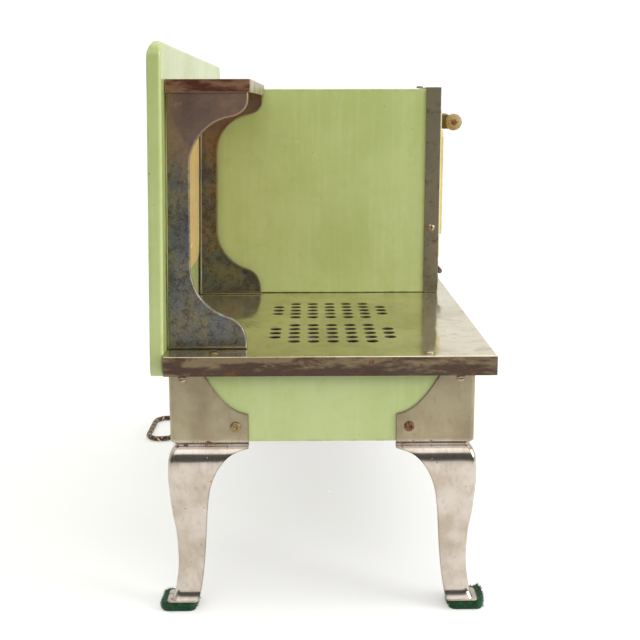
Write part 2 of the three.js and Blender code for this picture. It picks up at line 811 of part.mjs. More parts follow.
// A sheet ear that holds the grip just behind its domed end and is riveted to the door.
function handleEar(side) {
  const x = gripX + side * (handle.length / 2 - handle.collar - 2 * gap - sheet / 2);
  const half = handle.earHeight / 2;
  const outline = new THREE.Shape();
  outline.moveTo(fixedY, gripZ - half);
  outline.lineTo(fixedY, gripZ + half);
  outline.lineTo(gripY, gripZ + half + 1);
  outline.absarc(gripY, gripZ, half + 1, Math.PI / 2, 1.5 * Math.PI);
  const ear = extrudeX(outline, x - sheet / 2, x + sheet / 2, 5);
  const bore = cylinderX(handle.gripRadius + gap, x - sheet, x + sheet, gripY, gripZ, 16);
  const footX = x - side * (half + sheet / 2);
  const foot = box(...span(x, footX), fixedY - sheet, fixedY, gripZ - half, gripZ + half);
  return union(cut(ear, bore), foot);
}

// A spring strip inside the frame's upper edge that grips the door's top when it is shut.
function doorCatch() {
  const width = 16;
  const z1 = opening.z1 - gap;
  const spring = polygon([
    [ovenFaceY + sheet + gap, z1 + 9],
    [ovenFaceY + sheet + gap, z1 - 3],
    [ovenFaceY + sheet + gap + 3, z1 - 6],
    [ovenFaceY + sheet + gap + 4, z1 - 5.4],
    [ovenFaceY + 2 * sheet + gap, z1 - 2.6],
    [ovenFaceY + 2 * sheet + gap, z1 + 9],
  ]);
  return extrudeX(spring, gripX - width / 2, gripX + width / 2);
}

// ---------------------------------------------------------------- back panel, shelf and brackets

// The back panel is a shallow pan with its edges turned backwards.
function backPanel() {
  const x0 = panel.endInset;
  const x1 = cooktop.width - panel.endInset;
  const z0 = surfaceZ - panel.drop;
  const z1 = surfaceZ + panel.rise;
  const outer = extrudeY(roundedRect(x0, x1, z0, z1, panel.radius), panelFaceY, panelFaceY + panel.depth, 5);
  const inner = roundedRect(x0 + sheet, x1 - sheet, z0 + sheet, z1 - sheet, panel.radius - sheet);
  return cut(outer, extrudeY(inner, panelFaceY + sheet, panelFaceY + panel.depth + 1, 5));
}

function backPanelInset() {
  const { start, end, low, high, radius } = inset;
  const shape = roundedRect(start, end, surfaceZ + low, surfaceZ + high, radius);
  return extrudeY(shape, panelFaceY - gap - inset.thickness, panelFaceY - gap, 4);
}

const shelfZ1 = surfaceZ + shelf.rise;
const shelfZ0 = shelfZ1 - shelf.lip;
const shelfX1 = ovenX0 - gap;
const shelfBackY = panelFaceY - 2 * gap;
const shelfFrontY = panelFaceY - shelf.depth;

// A pan turned upside down, open towards the back panel and the oven.
function warmingShelf() {
  const [x0, y0] = [shelf.start, shelfFrontY];
  const outer = box(x0, shelfX1, y0, shelfBackY, shelfZ0, shelfZ1);
  const inner = box(x0 + sheet, shelfX1 + 1, y0 + sheet, shelfBackY + 1, shelfZ0 - 1, shelfZ1 - sheet);
  return cut(outer, inner);
}

// An ogee-cut plate that carries the shelf, with a flange along its back and its foot.
function shelfBracket(x0, side) {
  const z0 = surfaceZ + gap;
  const z1 = shelfZ1 - sheet - gap;
  const backEdge = panelFaceY - gap - inset.thickness - gap;
  const height = z1 - z0;
  const post = panelFaceY - bracket.postWidth;
  const head = shelfFrontY + joggle;
  const foot = panelFaceY - bracket.footReach;
  // A point a share of the way from a tip to the post, at a share of the height.
  const from = (tip, across, up) => [tip + across * (post - tip), z0 + up * height];
  const outline = new THREE.Shape();
  outline.moveTo(backEdge, z0);
  outline.lineTo(backEdge, z1);
  outline.lineTo(head, z1);
  outline.lineTo(...from(head, 0, 0.94));
  outline.bezierCurveTo(...from(head, 0, 0.9), ...from(head, 0.13, 0.875), ...from(head, 0.34, 0.869));
  outline.bezierCurveTo(...from(head, 0.6, 0.861), ...from(head, 1, 0.8), ...from(head, 1, 0.696));
  outline.lineTo(...from(foot, 1, 0.33));
  outline.bezierCurveTo(...from(foot, 1, 0.222), ...from(foot, 0.71, 0.148), ...from(foot, 0.3, 0.121));
  outline.bezierCurveTo(...from(foot, 0.13, 0.108), ...from(foot, 0, 0.075), ...from(foot, 0, 0));
  const x1 = x0 + side * sheet;
  const x2 = x0 + side * bracket.fold;
  const plate = extrudeX(outline, ...span(x0, x1), 8);
  const backFlange = box(...span(x0, x2), backEdge - sheet, backEdge, z0, z1);
  const footFlange = box(...span(x0, x2), foot + 3, backEdge, z0, z0 + sheet);
  return union(plate, backFlange, footFlange);
}

// ---------------------------------------------------------------- supply cord

const grommetTip = [cord.exitX, skirtBox.y1 + cord.grommetOut, cord.exitZ];

// A tapered rubber bush: a collar on each face of the apron and a nose that narrows to the cord.
function cordGrommet() {
  const r = cord.grommetRadius;
  const inner = -(joggle + sheet + gap);
  return turned(
    [
      [0, inner - 2],
      [r, inner - 2],
      [r, inner],
      [r - 2 - gap, inner],
      [r - 2 - gap, -joggle + gap],
      [r, -joggle + gap],
      [r, 0.5],
      [cord.diameter / 2 + 0.6, cord.grommetOut],
      [0, cord.grommetOut],
    ],
    [cord.exitX, skirtBox.y1, cord.exitZ],
    [0, 1, 0],
    16,
  );
}

const coil = {
  x: cord.coilCentre[0],
  y: cord.coilCentre[1],
  inner: cord.coilRadius - (cord.coilColumns * cord.diameter) / 2,
  outer: cord.coilRadius + (cord.coilColumns * cord.diameter) / 2,
  height: cord.coilLayers * cord.diameter,
};

// Floor to the middle of a cord that lies on it.
const cordZ = cord.diameter / 2 + 0.2;

// The outer track of turns, and how far from the coil's middle a cord leaves the ring along it.
const trackRadius = coil.outer - cord.diameter / 2;
const leaveAt = Math.sqrt(coil.outer ** 2 - (trackRadius - cord.diameter / 2) ** 2) + gap;

// From the grommet down to the floor, out behind the range in a loose bend, and back under it.
const cordRoute = [
  [cord.exitX, grommetTip[1] + gap, cord.exitZ],
  [cord.exitX, grommetTip[1] + 7, cord.exitZ - 0.5],
  [362, 120.5, 122.5],
  [362.3, 125, 112],
  [363.5, 126.5, 94],
  [366.5, 128, 68],
  [371.5, 130, 43],
  [379, 132.5, 24],
  [389, 135.5, 11],
  [399.5, 139, 4.5],
  [409.5, 143.6, cordZ],
  [415.4, 147, cordZ],
  [419.1, 152.1, cordZ],
  [419.9, 158.4, cordZ],
  [417.8, 164.3, cordZ],
  [413.1, 168.5, cordZ],
  [407, 170, cordZ],
  [396, 170.2, cordZ],
  [380, 170.3, cordZ],
  [364, 170.3, cordZ],
  [358.6, 169.1, cordZ],
  [354.2, 165.7, cordZ],
  [351.6, 160.8, cordZ],
  [351.4, 155.3, cordZ],
  [353.5, 150.2, cordZ],
  [357.6, 146.4, cordZ],
  [366, 141.5, cordZ],
  [373.5, 134.8, cordZ],
  [378.6, 125, cordZ],
  [380, 112, cordZ],
  [377.6, 98, cordZ],
  [373.4, 86.5, cordZ],
  [369, 80, cordZ],
  [367.5, 75, cordZ],
  [368.4, 69.2, cordZ],
  [372, 64.5, cordZ],
  [coil.x - leaveAt, coil.y + trackRadius, cordZ],
];

// From the coil's highest turn across to the plug that lies beside it.
const tailZ = 0.2 + coil.height - cord.diameter / 2;
const tailRoute = [
  [coil.x + trackRadius, coil.y - leaveAt, tailZ],
  [coil.x + trackRadius - 0.6, coil.y - leaveAt - 6, tailZ - 1.5],
  [421.6, 2.4, tailZ - 3.2],
  [415.5, -2.2, tailZ - 4],
  [408.8, -4.3, tailZ - 3.4],
  [403.4, -7.6, tailZ - 2],
  [plug.x + 0.4, plug.y + 5.2, plug.radius - 0.4],
  [plug.x, plug.y + gap, plug.radius],
];

function cordTube(route, steps) {
  const curve = new THREE.CatmullRomCurve3(route.map((point) => new THREE.Vector3(...point)));
  return roundBar(curve, cord.diameter / 2, cord.sides, steps);
}

function cordCoil() {
  const { inner, outer, height } = coil;
  const low = 0.2;
  const ring = [[inner, low], [outer, low], [outer, low + height], [inner, low + height], [inner, low]];
  const points = ring.map(([radius, z]) => new THREE.Vector2(radius, z));
  return new THREE.LatheGeometry(points, 28).rotateX(Math.PI / 2).translate(coil.x, coil.y, 0);
}

function plugBody() {
  return turned(
    [
      [0, 0],
      [plug.neckRadius, 0],
      [plug.neckRadius + 1, plug.neck * 0.75],
      [plug.radius * 0.8, plug.neck],
      [plug.radius, plug.neck + 3],
      [plug.radius, plug.neck + plug.length],
      [0, plug.neck + plug.length],
    ],
    [plug.x, plug.y, plug.radius + 0.2],
    [0, -1, 0],
    20,
  );
}

function plugBlade(side) {
  const { thickness, width, length, pitch } = plug.blade;
  const x = plug.x + (side * pitch) / 2;
  const z = plug.radius + 0.2;
  const y1 = plug.y - plug.neck - plug.length - gap;
  return box(x - thickness / 2, x + thickness / 2, y1 - length, y1, z - width / 2, z + width / 2);
}

// ---------------------------------------------------------------- assembly

add('cooktop_plate', cooktopPlate(), finishes.nickel);
add('oven_base_plate', ovenBasePlate(), finishes.nickel);

burner.centres.forEach((x, i) => {
  const place = i === 0 ? 'left' : 'right';
  add(`burner_tray_${place}`, burnerTray(x), finishes.steel);
  add(`burner_ceramic_${place}`, burnerCeramic(x), finishes.ceramic);
  add(`burner_coil_${place}`, burnerCoil(x), finishes.wire);
});

add('base_front', longApron(apron.y0, 1), finishes.green);
add('base_back', baseBack(), finishes.green);
add('base_left', shortApron(apron.x0, 1), finishes.green);
add('base_right', shortApron(apron.x1, -1), finishes.green);
add('base_bottom', baseBottom(), finishes.steel);

for (const [place, corner] of Object.entries(corners)) {
  add(`leg_${place}`, atCorner(legSolid(), corner), finishes.bright);
  add(`foot_felt_${place}`, atCorner(feltPad(), corner), finishes.felt);
  const onFront = rivetSolid([rivetReach, 0, rivetZ], [0, -1, 0]);
  const onEnd = rivetSolid([0, rivetReach, rivetZ], [-1, 0, 0]);
  add(`leg_rivet_${place}_long`, atCorner(onFront, corner), finishes.steel);
  add(`leg_rivet_${place}_short`, atCorner(onEnd, corner), finishes.steel);
}

add('oven_wrap', ovenWrap(), finishes.green);
add('oven_back', ovenBack(), finishes.steel);
add('oven_floor', ovenFloor(), finishes.steel);
add('oven_front_frame', ovenFrontFrame(), finishes.tarnished);
add('oven_rack_ledge_left', rackLedge(-1), finishes.steel);
add('oven_rack_ledge_right', rackLedge(1), finishes.steel);
add('oven_rack', ovenRack(), finishes.wire);
add('oven_element', ovenElement(), finishes.ceramic);
add('oven_element_clip_left', elementClip(elementX0 + element.clip / 2), finishes.steel);
add('oven_element_clip_right', elementClip(elementX1 - element.clip / 2), finishes.steel);
add('oven_door', ovenDoor(), finishes.green);
add('oven_door_panel', doorPanel(), finishes.cream);
add('door_handle_grip', handleGrip(), finishes.wood);
add('door_handle_ear_left', handleEar(-1), finishes.tarnished);
add('door_handle_ear_right', handleEar(1), finishes.tarnished);
add('door_hinge_leaf', hingeLeaf(), finishes.tarnished);
add('door_hinge_pin', hingePin(), finishes.steel);
add('door_catch', doorCatch(), finishes.steel);

add('back_panel', leaning(backPanel()), finishes.green);
add('back_panel_inset', leaning(backPanelInset()), finishes.cream);
add('warming_shelf', leaning(warmingShelf()), finishes.tarnished);
add('shelf_bracket_left', leaning(shelfBracket(bracket.start, 1)), finishes.tarnished);
add('shelf_bracket_right', leaning(shelfBracket(shelfX1, -1)), finishes.tarnished);

add('cord_grommet', cordGrommet(), finishes.bakelite);
add('cord', cordTube(cordRoute, 60), finishes.braid);
add('cord_coil', cordCoil(), finishes.braid);
add('cord_tail', cordTube(tailRoute, 8), finishes.braid);
add('plug_body', plugBody(), finishes.bakelite);
add('plug_blade_left', plugBlade(-1), finishes.brass);
add('plug_blade_right', plugBlade(1), finishes.brass);

// ---------------------------------------------------------------- origin

// The middle of the footprint of everything but the free cord and its plug becomes x = 0, y = 0.
const onTheCord = /^(cord|plug)/;
const footprint = new THREE.Box3();
for (const mesh of range.children) {
  if (!onTheCord.test(mesh.name)) footprint.expandByObject(mesh);
}
const middle = footprint.getCenter(new THREE.Vector3());
for (const mesh of range.children) {
  mesh.geometry.translate(-middle.x, -middle.y, 0);
}

export default range;
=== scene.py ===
"""The looks of a child's electric kitchen range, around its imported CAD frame.

Lengths in this file are millimetres in the frame that part.mjs builds in: x from the cooktop's left end,
y from its centre line (the front is at -y) and z from the floor. at() turns them into the row frame.
"""

import math
import random

import bmesh
import bpy
from mathutils import Matrix, Vector, noise


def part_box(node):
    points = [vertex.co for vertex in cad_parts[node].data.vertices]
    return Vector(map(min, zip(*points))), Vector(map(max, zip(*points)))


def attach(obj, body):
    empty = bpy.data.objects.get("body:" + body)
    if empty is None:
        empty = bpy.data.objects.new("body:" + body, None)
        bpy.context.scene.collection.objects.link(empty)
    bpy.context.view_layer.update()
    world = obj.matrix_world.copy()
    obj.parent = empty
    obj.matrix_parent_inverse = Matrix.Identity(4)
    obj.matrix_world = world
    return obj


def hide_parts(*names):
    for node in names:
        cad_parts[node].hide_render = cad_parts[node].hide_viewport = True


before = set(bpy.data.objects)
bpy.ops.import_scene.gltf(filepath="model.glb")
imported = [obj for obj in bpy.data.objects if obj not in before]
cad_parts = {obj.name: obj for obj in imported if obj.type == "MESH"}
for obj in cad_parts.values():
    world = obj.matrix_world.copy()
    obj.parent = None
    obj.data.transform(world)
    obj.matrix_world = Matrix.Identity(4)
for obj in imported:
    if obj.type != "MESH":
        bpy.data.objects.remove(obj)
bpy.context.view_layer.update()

MM = 0.001
cooktop_low, cooktop_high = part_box("cooktop_plate")
ORIGIN = Vector((cooktop_low.x, (cooktop_low.y + cooktop_high.y) / 2, 0.0))


def at(x, y, z):
    """A point of part.mjs's frame, in millimetres, as a point of the row frame in metres."""
    return ORIGIN + Vector((x, y, z)) * MM


# ---------------------------------------------------------------- sizes shared with part.mjs

GAP = 0.3
SHEET = 1.0
SURFACE_Z = 169.0
FRONT_Y, BACK_Y = -102.0, 102.0
WIDTH, SEAM_X = 430.0, 217.6
RIM = 12.3
SKIRT_Z = 112.9
SKIRT_X = (6.0, 424.0)
SKIRT_Y = (-90.0, 100.0)
FELT_SIZE, FELT_THICKNESS, FELT_RADIUS = 22.0, 6.0, 4.0
FELT_PAST_END, FELT_PAST_SIDE = 2.5, 8.5
FOOT_Z = FELT_THICKNESS + GAP
BURNER_X, BURNER_Y = (67.3, 146.1), -2.5
LEAN = 0.023
PANEL_Y = 102.3
CORD_DIAMETER = 5.0


# ---------------------------------------------------------------- camera


def make_camera():
    """Stands at the left end of the range, a little above it, and looks along +X and slightly down."""
    data = bpy.data.cameras.new("camera")
    data.sensor_width = 36.0
    data.lens = 58.5
    data.dof.use_dof = False
    camera = bpy.data.objects.new("camera", data)
    bpy.context.scene.collection.objects.link(camera)
    yaw, pitch, roll = -0.01085, 0.2026, 0.00198
    forward = Vector((math.cos(pitch) * math.cos(yaw), math.cos(pitch) * math.sin(yaw), -math.sin(pitch)))
    right = Vector((math.sin(yaw), -math.cos(yaw), 0.0))
    down = forward.cross(right)
    rolled_right = math.cos(roll) * right + math.sin(roll) * down
    rolled_down = math.cos(roll) * down - math.sin(roll) * right
    turn = Matrix((rolled_right, -rolled_down, -forward)).transposed()
    camera.matrix_world = Matrix.Translation((-0.8295, 0.0168, 0.3179)) @ turn.to_4x4()
    bpy.context.scene.camera = camera


# ---------------------------------------------------------------- mesh helpers


def make_mesh(name, points, faces, smooth=True):
    """A mesh object whose points are already in the row frame."""
    data = bpy.data.meshes.new(name)
    data.from_pydata([tuple(p) for p in points], [], faces)
    data.validate()
    piece = bpy.data.objects.new(name, data)
    bpy.context.scene.collection.objects.link(piece)
    face_outwards(piece)
    if smooth:
        data.shade_smooth()
    else:
        data.shade_flat()
    return piece


def face_outwards(piece):
    """Turns every face's normal to the outside."""
    mesh = bmesh.new()
    mesh.from_mesh(piece.data)
    bmesh.ops.recalc_face_normals(mesh, faces=mesh.faces)
    mesh.to_mesh(piece.data)
    mesh.free()


def loft(rings, closed=True, caps=True):
    """Points and faces of a skin through rings of equally many points."""
    count = len(rings[0])
    points = [p for ring in rings for p in ring]
    faces = []
    for ring in range(len(rings) - 1):
        for i in range(count if closed else count - 1):
            a = ring * count + i
            b = ring * count + (i + 1) % count
            faces.append((a, b, b + count, a + count))
    if caps:
        faces.append(tuple(range(count)))
        faces.append(tuple(range((len(rings) - 1) * count, len(rings) * count)))
    return points, faces


def turned(name, profile, start, direction, segments):
    """A solid turned about a line: profile is (radius, distance along the line) pairs, in millimetres."""
    turn = Vector((0, 0, 1)).rotation_difference(Vector(direction)).to_matrix()
    rings = []
    for radius, along in profile:
        reach = max(radius, 0.01)
        ring = []
        for i in range(segments):
            angle = 2 * math.pi * i / segments
            spoke = Vector((reach * math.cos(angle), reach * math.sin(angle), along))
            ring.append(start + turn @ spoke * MM)
        rings.append(ring)
    return make_mesh(name, *loft(rings))


def smooth_line(points, spacing):
    """A centripetal Catmull-Rom line through the points, with a point about every spacing."""
    points = [Vector(p) for p in points]
    padded = [points[0] * 2 - points[1], *points, points[-1] * 2 - points[-2]]
    line = [points[0]]
    for p0, p1, p2, p3 in zip(padded, padded[1:], padded[2:], padded[3:]):
        t1 = (p1 - p0).length ** 0.5
        t2 = t1 + (p2 - p1).length ** 0.5
        t3 = t2 + (p3 - p2).length ** 0.5
        steps = max(1, round((p2 - p1).length / spacing))
        for i in range(1, steps + 1):
            t = t1 + (t2 - t1) * i / steps
            a1 = p0 * ((t1 - t) / t1) + p1 * (t / t1)
            a2 = p1 * ((t2 - t) / (t2 - t1)) + p2 * ((t - t1) / (t2 - t1))
            a3 = p2 * ((t3 - t) / (t3 - t2)) + p3 * ((t - t2) / (t3 - t2))
            b1 = a1 * ((t2 - t) / t2) + a2 * (t / t2)
            b2 = a2 * ((t3 - t) / (t3 - t1)) + a3 * ((t - t1) / (t3 - t1))
            line.append(b1 * ((t2 - t) / (t2 - t1)) + b2 * ((t - t1) / (t2 - t1)))
    return line


def bezier(a, b, c, d, count):
    """Points of a cubic curve after its start, the last being its end."""
    points = []
    for i in range(1, count + 1):
        t = i / count
        s = 1 - t
        weights = (s * s * s, 3 * s * s * t, 3 * s * t * t, t * t * t)
        points.append(tuple(sum(w * p[k] for w, p in zip(weights, (a, b, c, d))) for k in range(2)))
    return points


def bevel(piece, width, segments=3, angle=35):
    """Rounds the edges that are sharper than the angle, and keeps the flats flat."""
    round_edges = piece.modifiers.new("rounded_edges", "BEVEL")
    round_edges.width = width * MM
    round_edges.segments = segments
    round_edges.limit_method = "ANGLE"
    round_edges.angle_limit = math.radians(angle)
    normals = piece.modifiers.new("flat_faces", "WEIGHTED_NORMAL")
    normals.weight = 60
    return piece


def welded_group():
    """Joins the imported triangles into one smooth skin, so that a bevel can run along its edges."""
    group = bpy.data.node_groups.new("welded_skin", "GeometryNodeTree")
    for way in ("INPUT", "OUTPUT"):
        group.interface.new_socket("Geometry", in_out=way, socket_type="NodeSocketGeometry")
    kinds = ("NodeGroupInput", "GeometryNodeMergeByDistance", "GeometryNodeRemoveAttribute",
             "GeometryNodeSetShadeSmooth", "NodeGroupOutput")
    chain = [group.nodes.new(kind) for kind in kinds]
    chain[1].inputs["Distance"].default_value = 0.01 * MM
    chain[2].inputs["Name"].default_value = "custom_normal"
    for before, after in zip(chain, chain[1:]):
        group.links.new(before.outputs[0], after.inputs[0])
    return group


WELDED = welded_group()


def soften(node, width, segments=2, angle=35):
    """Rounds the edges of a CAD node as it is shown."""
    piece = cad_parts[node]
    weld = piece.modifiers.new("welded_skin", "NODES")
    weld.node_group = WELDED
    return bevel(piece, width, segments, angle)


def applied(piece):
    """Makes the piece's modifiers part of its mesh."""
    shown = piece.evaluated_get(bpy.context.evaluated_depsgraph_get())
    data = bpy.data.meshes.new_from_object(shown)
    piece.modifiers.clear()
    piece.data = data
    return piece


def cut_away(piece, cutter):
    """Cuts a solid out of a piece and removes the solid."""
    cut = piece.modifiers.new("cut", "BOOLEAN")
    cut.operation = "DIFFERENCE"
    cut.solver = "EXACT"
    cut.object = cutter
    bpy.context.view_layer.update()
    applied(piece)
    bpy.data.objects.remove(cutter)


def rolled_edge(radius, steps):
    """(inset, drop) along a quarter turn, from the flat to where the sheet runs straight down."""
    angles = [(math.pi / 2) * i / steps for i in range(steps + 1)]
    return [(radius * (1 - math.sin(a)), radius * (1 - math.cos(a))) for a in angles]


def sheet(piece, thickness=SHEET):
    """Gives a skin a sheet's thickness, inwards."""
    shell = piece.modifiers.new("sheet", "SOLIDIFY")
    shell.thickness = thickness * MM
    shell.offset = -1.0
    return applied(piece)


def pan(name, rings, thickness=SHEET):
    """A pressed pan: a flat face inside the first ring, and its turned edge through the others."""
    points, faces = loft(rings, caps=False)
    faces.append(tuple(range(len(rings[0]))))
    return sheet(make_mesh(name, points, faces), thickness)


def rounded_outline(u0, u1, v0, v1, radius, segments=10):
    """The corners of a rectangle with round corners, anticlockwise from the low side."""
    outline = []
    corners = ((u1 - radius, v0 + radius, -90), (u1 - radius, v1 - radius, 0),
               (u0 + radius, v1 - radius, 90), (u0 + radius, v0 + radius, 180))
    for u, v, start in corners:
        for i in range(segments + 1):
            angle = math.radians(start + 90 * i / segments)
            outline.append((u + radius * math.cos(angle), v + radius * math.sin(angle)))
    return outline


def dress(piece, material, body="stove", replaces=()):
    """Gives a new piece its finish, its body and the CAD nodes that it stands for."""
    piece.data.materials.clear()
    piece.data.materials.append(material)
    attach(piece, body)
    if replaces:
        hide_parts(*replaces)
    return piece


def paint(material, *nodes):
    """Gives CAD nodes a finish in place of the plain one they were packed with."""
    for node in nodes:
        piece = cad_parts[node]
        for material_slot in piece.material_slots:
            material_slot.link = "OBJECT"
            material_slot.material = material


# ---------------------------------------------------------------- material helpers


def colour(red, green, blue):
    """A colour given as it looks on a screen, 0 to 255, as linear light."""

    def linear(channel):
        share = channel / 255
        return share / 12.92 if share <= 0.04045 else ((share + 0.055) / 1.055) ** 2.4

    return (linear(red), linear(green), linear(blue), 1.0)


class Nodes:
    """A material's or the world's node tree, built up node by node."""

    def __init__(self, owner):
        owner.use_nodes = True
        self.tree = owner.node_tree
        self.tree.nodes.clear()

    def put(self, socket, value):
        """Links a node's output to a socket, or sets the socket to a plain value."""
        if isinstance(value, bpy.types.NodeSocket):
            self.tree.links.new(value, socket)
        else:
            socket.default_value = value

    def add(self, kind, inputs=None, output=0, **settings):
        """Adds a node with its settings and its inputs, by name or number, and gives one of its outputs."""
        node = self.tree.nodes.new("ShaderNode" + kind)
        for name, value in settings.items():
            setattr(node, name, value)
        for name, value in (inputs or {}).items():
            self.put(node.inputs[name], value)
        return node.outputs[output] if node.outputs else None

    def rises(self, value, low, high, top=1.0):
        """0 below low, top above high, smooth between; the other way round if low is above high."""
        ends = {"From Min": min(low, high), "From Max": max(low, high)}
        ends["To Min"], ends["To Max"] = (0.0, top) if low < high else (top, 0.0)
        return self.add("MapRange", {"Value": value, **ends}, interpolation_type="SMOOTHSTEP")

    def maths(self, operation, a, b=0.0):
        return self.add("Math", {0: a, 1: b}, operation=operation)

    def plus(self, a, b):
        return self.maths("ADD", a, b)

    def times(self, a, b):
        return self.maths("MULTIPLY", a, b)

    def most(self, a, b):
        return self.maths("MAXIMUM", a, b)

    def rest(self, share):
        return self.maths("SUBTRACT", 1.0, share)

    def mix(self, share, a, b):
        """Colour a where share is 0 and colour b where it is 1."""
        return self.add("Mix", {0: share, 6: a, 7: b}, 2, data_type="RGBA")

    def blend(self, share, a, b):
        """The same for two numbers."""
        return self.add("Mix", {0: share, 2: a, 3: b})


class Finish(Nodes):
    """One material: patterns and masks in the piece's own coordinates, then its shader."""

    def __init__(self, name):
        self.material = bpy.data.materials.new(name)
        super().__init__(self.material)
        self.shader = self.tree.nodes.new("ShaderNodeBsdfPrincipled")
        self.add("OutputMaterial", {0: self.shader.outputs[0]})
        self.place = self.add("TexCoord", output="Object")

    def set(self, name, value):
        self.put(self.shader.inputs[name], value)

    def noise(self, size, detail=4.0, rough=0.55, distortion=0.0, stretch=(1, 1, 1)):
        """Noise whose features are about size millimetres across; a low stretch draws them out one way."""
        place = self.add("Mapping", {"Vector": self.place, "Scale": stretch})
        shape = {"Scale": 1000.0 / size, "Detail": detail, "Roughness": rough, "Distortion": distortion}
        return self.add("TexNoise", {"Vector": place, **shape}, "Fac")

    def cells(self, size):
        """Distance to scattered points about size millimetres apart, 0 at each point."""
        return self.add("TexVoronoi", {"Vector": self.place, "Scale": 1000.0 / size}, "Distance")

    def axis(self, name):
        """One of the row frame's coordinates over the piece, in metres."""
        return self.add("SeparateXYZ", {0: self.place}, name)

    def height(self, low, high, top=1.0):
        """The same as rises, by the height above the floor in millimetres."""
        return self.rises(self.axis("Z"), low * MM, high * MM, top)

    def facing(self, direction):
        """How squarely the surface faces a direction of the piece's frame, -1 to 1."""
        normal = self.add("NewGeometry", output="Normal")
        return self.add("VectorMath", {0: direction, 1: normal}, "Value", operation="DOT_PRODUCT")

    def edges(self, radius, top=1.0):
        """top along edges and 0 on flats, from how far a rounded normal leans away from the true one."""
        rounded = self.add("Bevel", {"Radius": radius * MM}, samples=4)
        return self.rises(self.facing(rounded), 0.995, 0.85, top)

    def rust(self, size, start, span=0.06, more=None):
        """Patches of rust, fewer with a higher start, and more of them where more is high."""
        field = self.noise(size, detail=9, rough=0.72)
        return self.rises(self.plus(field, more) if more else field, start, start + span)

    def stain(self, tone, tint, pattern, low, high, share=1.0):
        """The tone, turned up to share into the tint where the pattern rises from low to high."""
        return self.mix(self.rises(pattern, low, high, share), tone, tint)

    def bump(self, *layers):
        """Raises the surface by each (height pattern, depth in millimetres)."""
        normal = None
        for height, depth in layers:
            inputs = {"Strength": 1.0, "Distance": depth * MM, "Height": height}
            if normal:
                inputs["Normal"] = normal
            normal = self.add("Bump", inputs)
        self.set("Normal", normal)

    def coat(self, tone, metallic, roughness, *layers):
        """Sets the shader's colour, metal, roughness and bump, and gives the finished material."""
        self.set("Base Color", tone)
        self.set("Metallic", metallic)
        self.set("Roughness", roughness)
        self.bump(*layers)
        return self.material

    def worn_coat(self, worn, under, tone, metallic, gloss, matt, *layers):
        """The same, with what is under the coat showing where worn is 1."""
        shown = self.mix(worn, tone, under)
        metal, roughness = self.blend(worn, metallic, 0.1), self.blend(worn, gloss, matt)
        return self.coat(shown, metal, roughness, *layers, (self.rest(worn), 0.05))


# ---------------------------------------------------------------- finishes


def enamel(name, main, deep, pale, bare_below=0.0):
    """Stove enamel: glossy, a little wavy, uneven in tone, and chipped to dark iron along its edges.

    Below the height bare_below, in millimetres, it has worn off altogether.
    """
    finish = Finish(name)
    clouds = finish.noise(90, detail=5)
    smears = finish.noise(13, detail=5, distortion=0.8)
    tone = finish.stain(main, deep, clouds, 0.38, 0.66, 0.6)
    tone = finish.stain(tone, pale, finish.noise(24, stretch=(1, 1, 0.18)), 0.5, 0.8, 0.4)
    tone = finish.stain(tone, pale, finish.noise(3.5, stretch=(1, 1, 0.05)), 0.45, 0.7, 0.16)
    tone = finish.stain(tone, deep, smears, 0.52, 0.75, 0.3)
    tone = finish.stain(tone, deep, finish.noise(5, detail=6), 0.35, 0.75, 0.14)
    grime = finish.times(finish.edges(3.0), finish.rises(finish.noise(9, detail=6), 0.42, 0.68, 0.35))
    tone = finish.mix(grime, tone, colour(104, 92, 52))
    specks = finish.rises(finish.cells(7), 0.065, 0.03)
    specks = finish.times(specks, finish.rises(finish.noise(31), 0.5, 0.62))
    wear = finish.times(finish.edges(0.8), finish.rises(finish.noise(18, detail=6), 0.53, 0.62))
    bare = finish.most(specks, wear)
    if bare_below:
        bare = finish.most(bare, finish.height(bare_below, bare_below - 1))
    iron = finish.mix(finish.noise(2), colour(46, 36, 28), colour(112, 72, 44))
    gloss = finish.blend(finish.rises(clouds, 0.3, 0.8), 0.14, 0.26)
    gloss = finish.blend(bare, finish.plus(gloss, finish.rises(smears, 0.5, 0.8, 0.1)), 0.75)
    layers = (finish.noise(38, detail=2), 0.5), (finish.noise(1.6, detail=2), 0.01), (finish.rest(bare), 0.09)
    return finish.coat(finish.mix(bare, tone, iron), 0.0, gloss, *layers)


GREEN = (colour(182, 194, 132), colour(164, 178, 104), colour(198, 208, 156))
GREEN_ENAMEL = enamel("green_stove_enamel", *GREEN)
DOOR_ENAMEL = enamel("green_door_enamel", *GREEN, bare_below=190.0)
CREAM = (colour(243, 214, 148), colour(232, 190, 116), colour(247, 226, 176))
CREAM_ENAMEL = enamel("cream_stove_enamel", *CREAM)


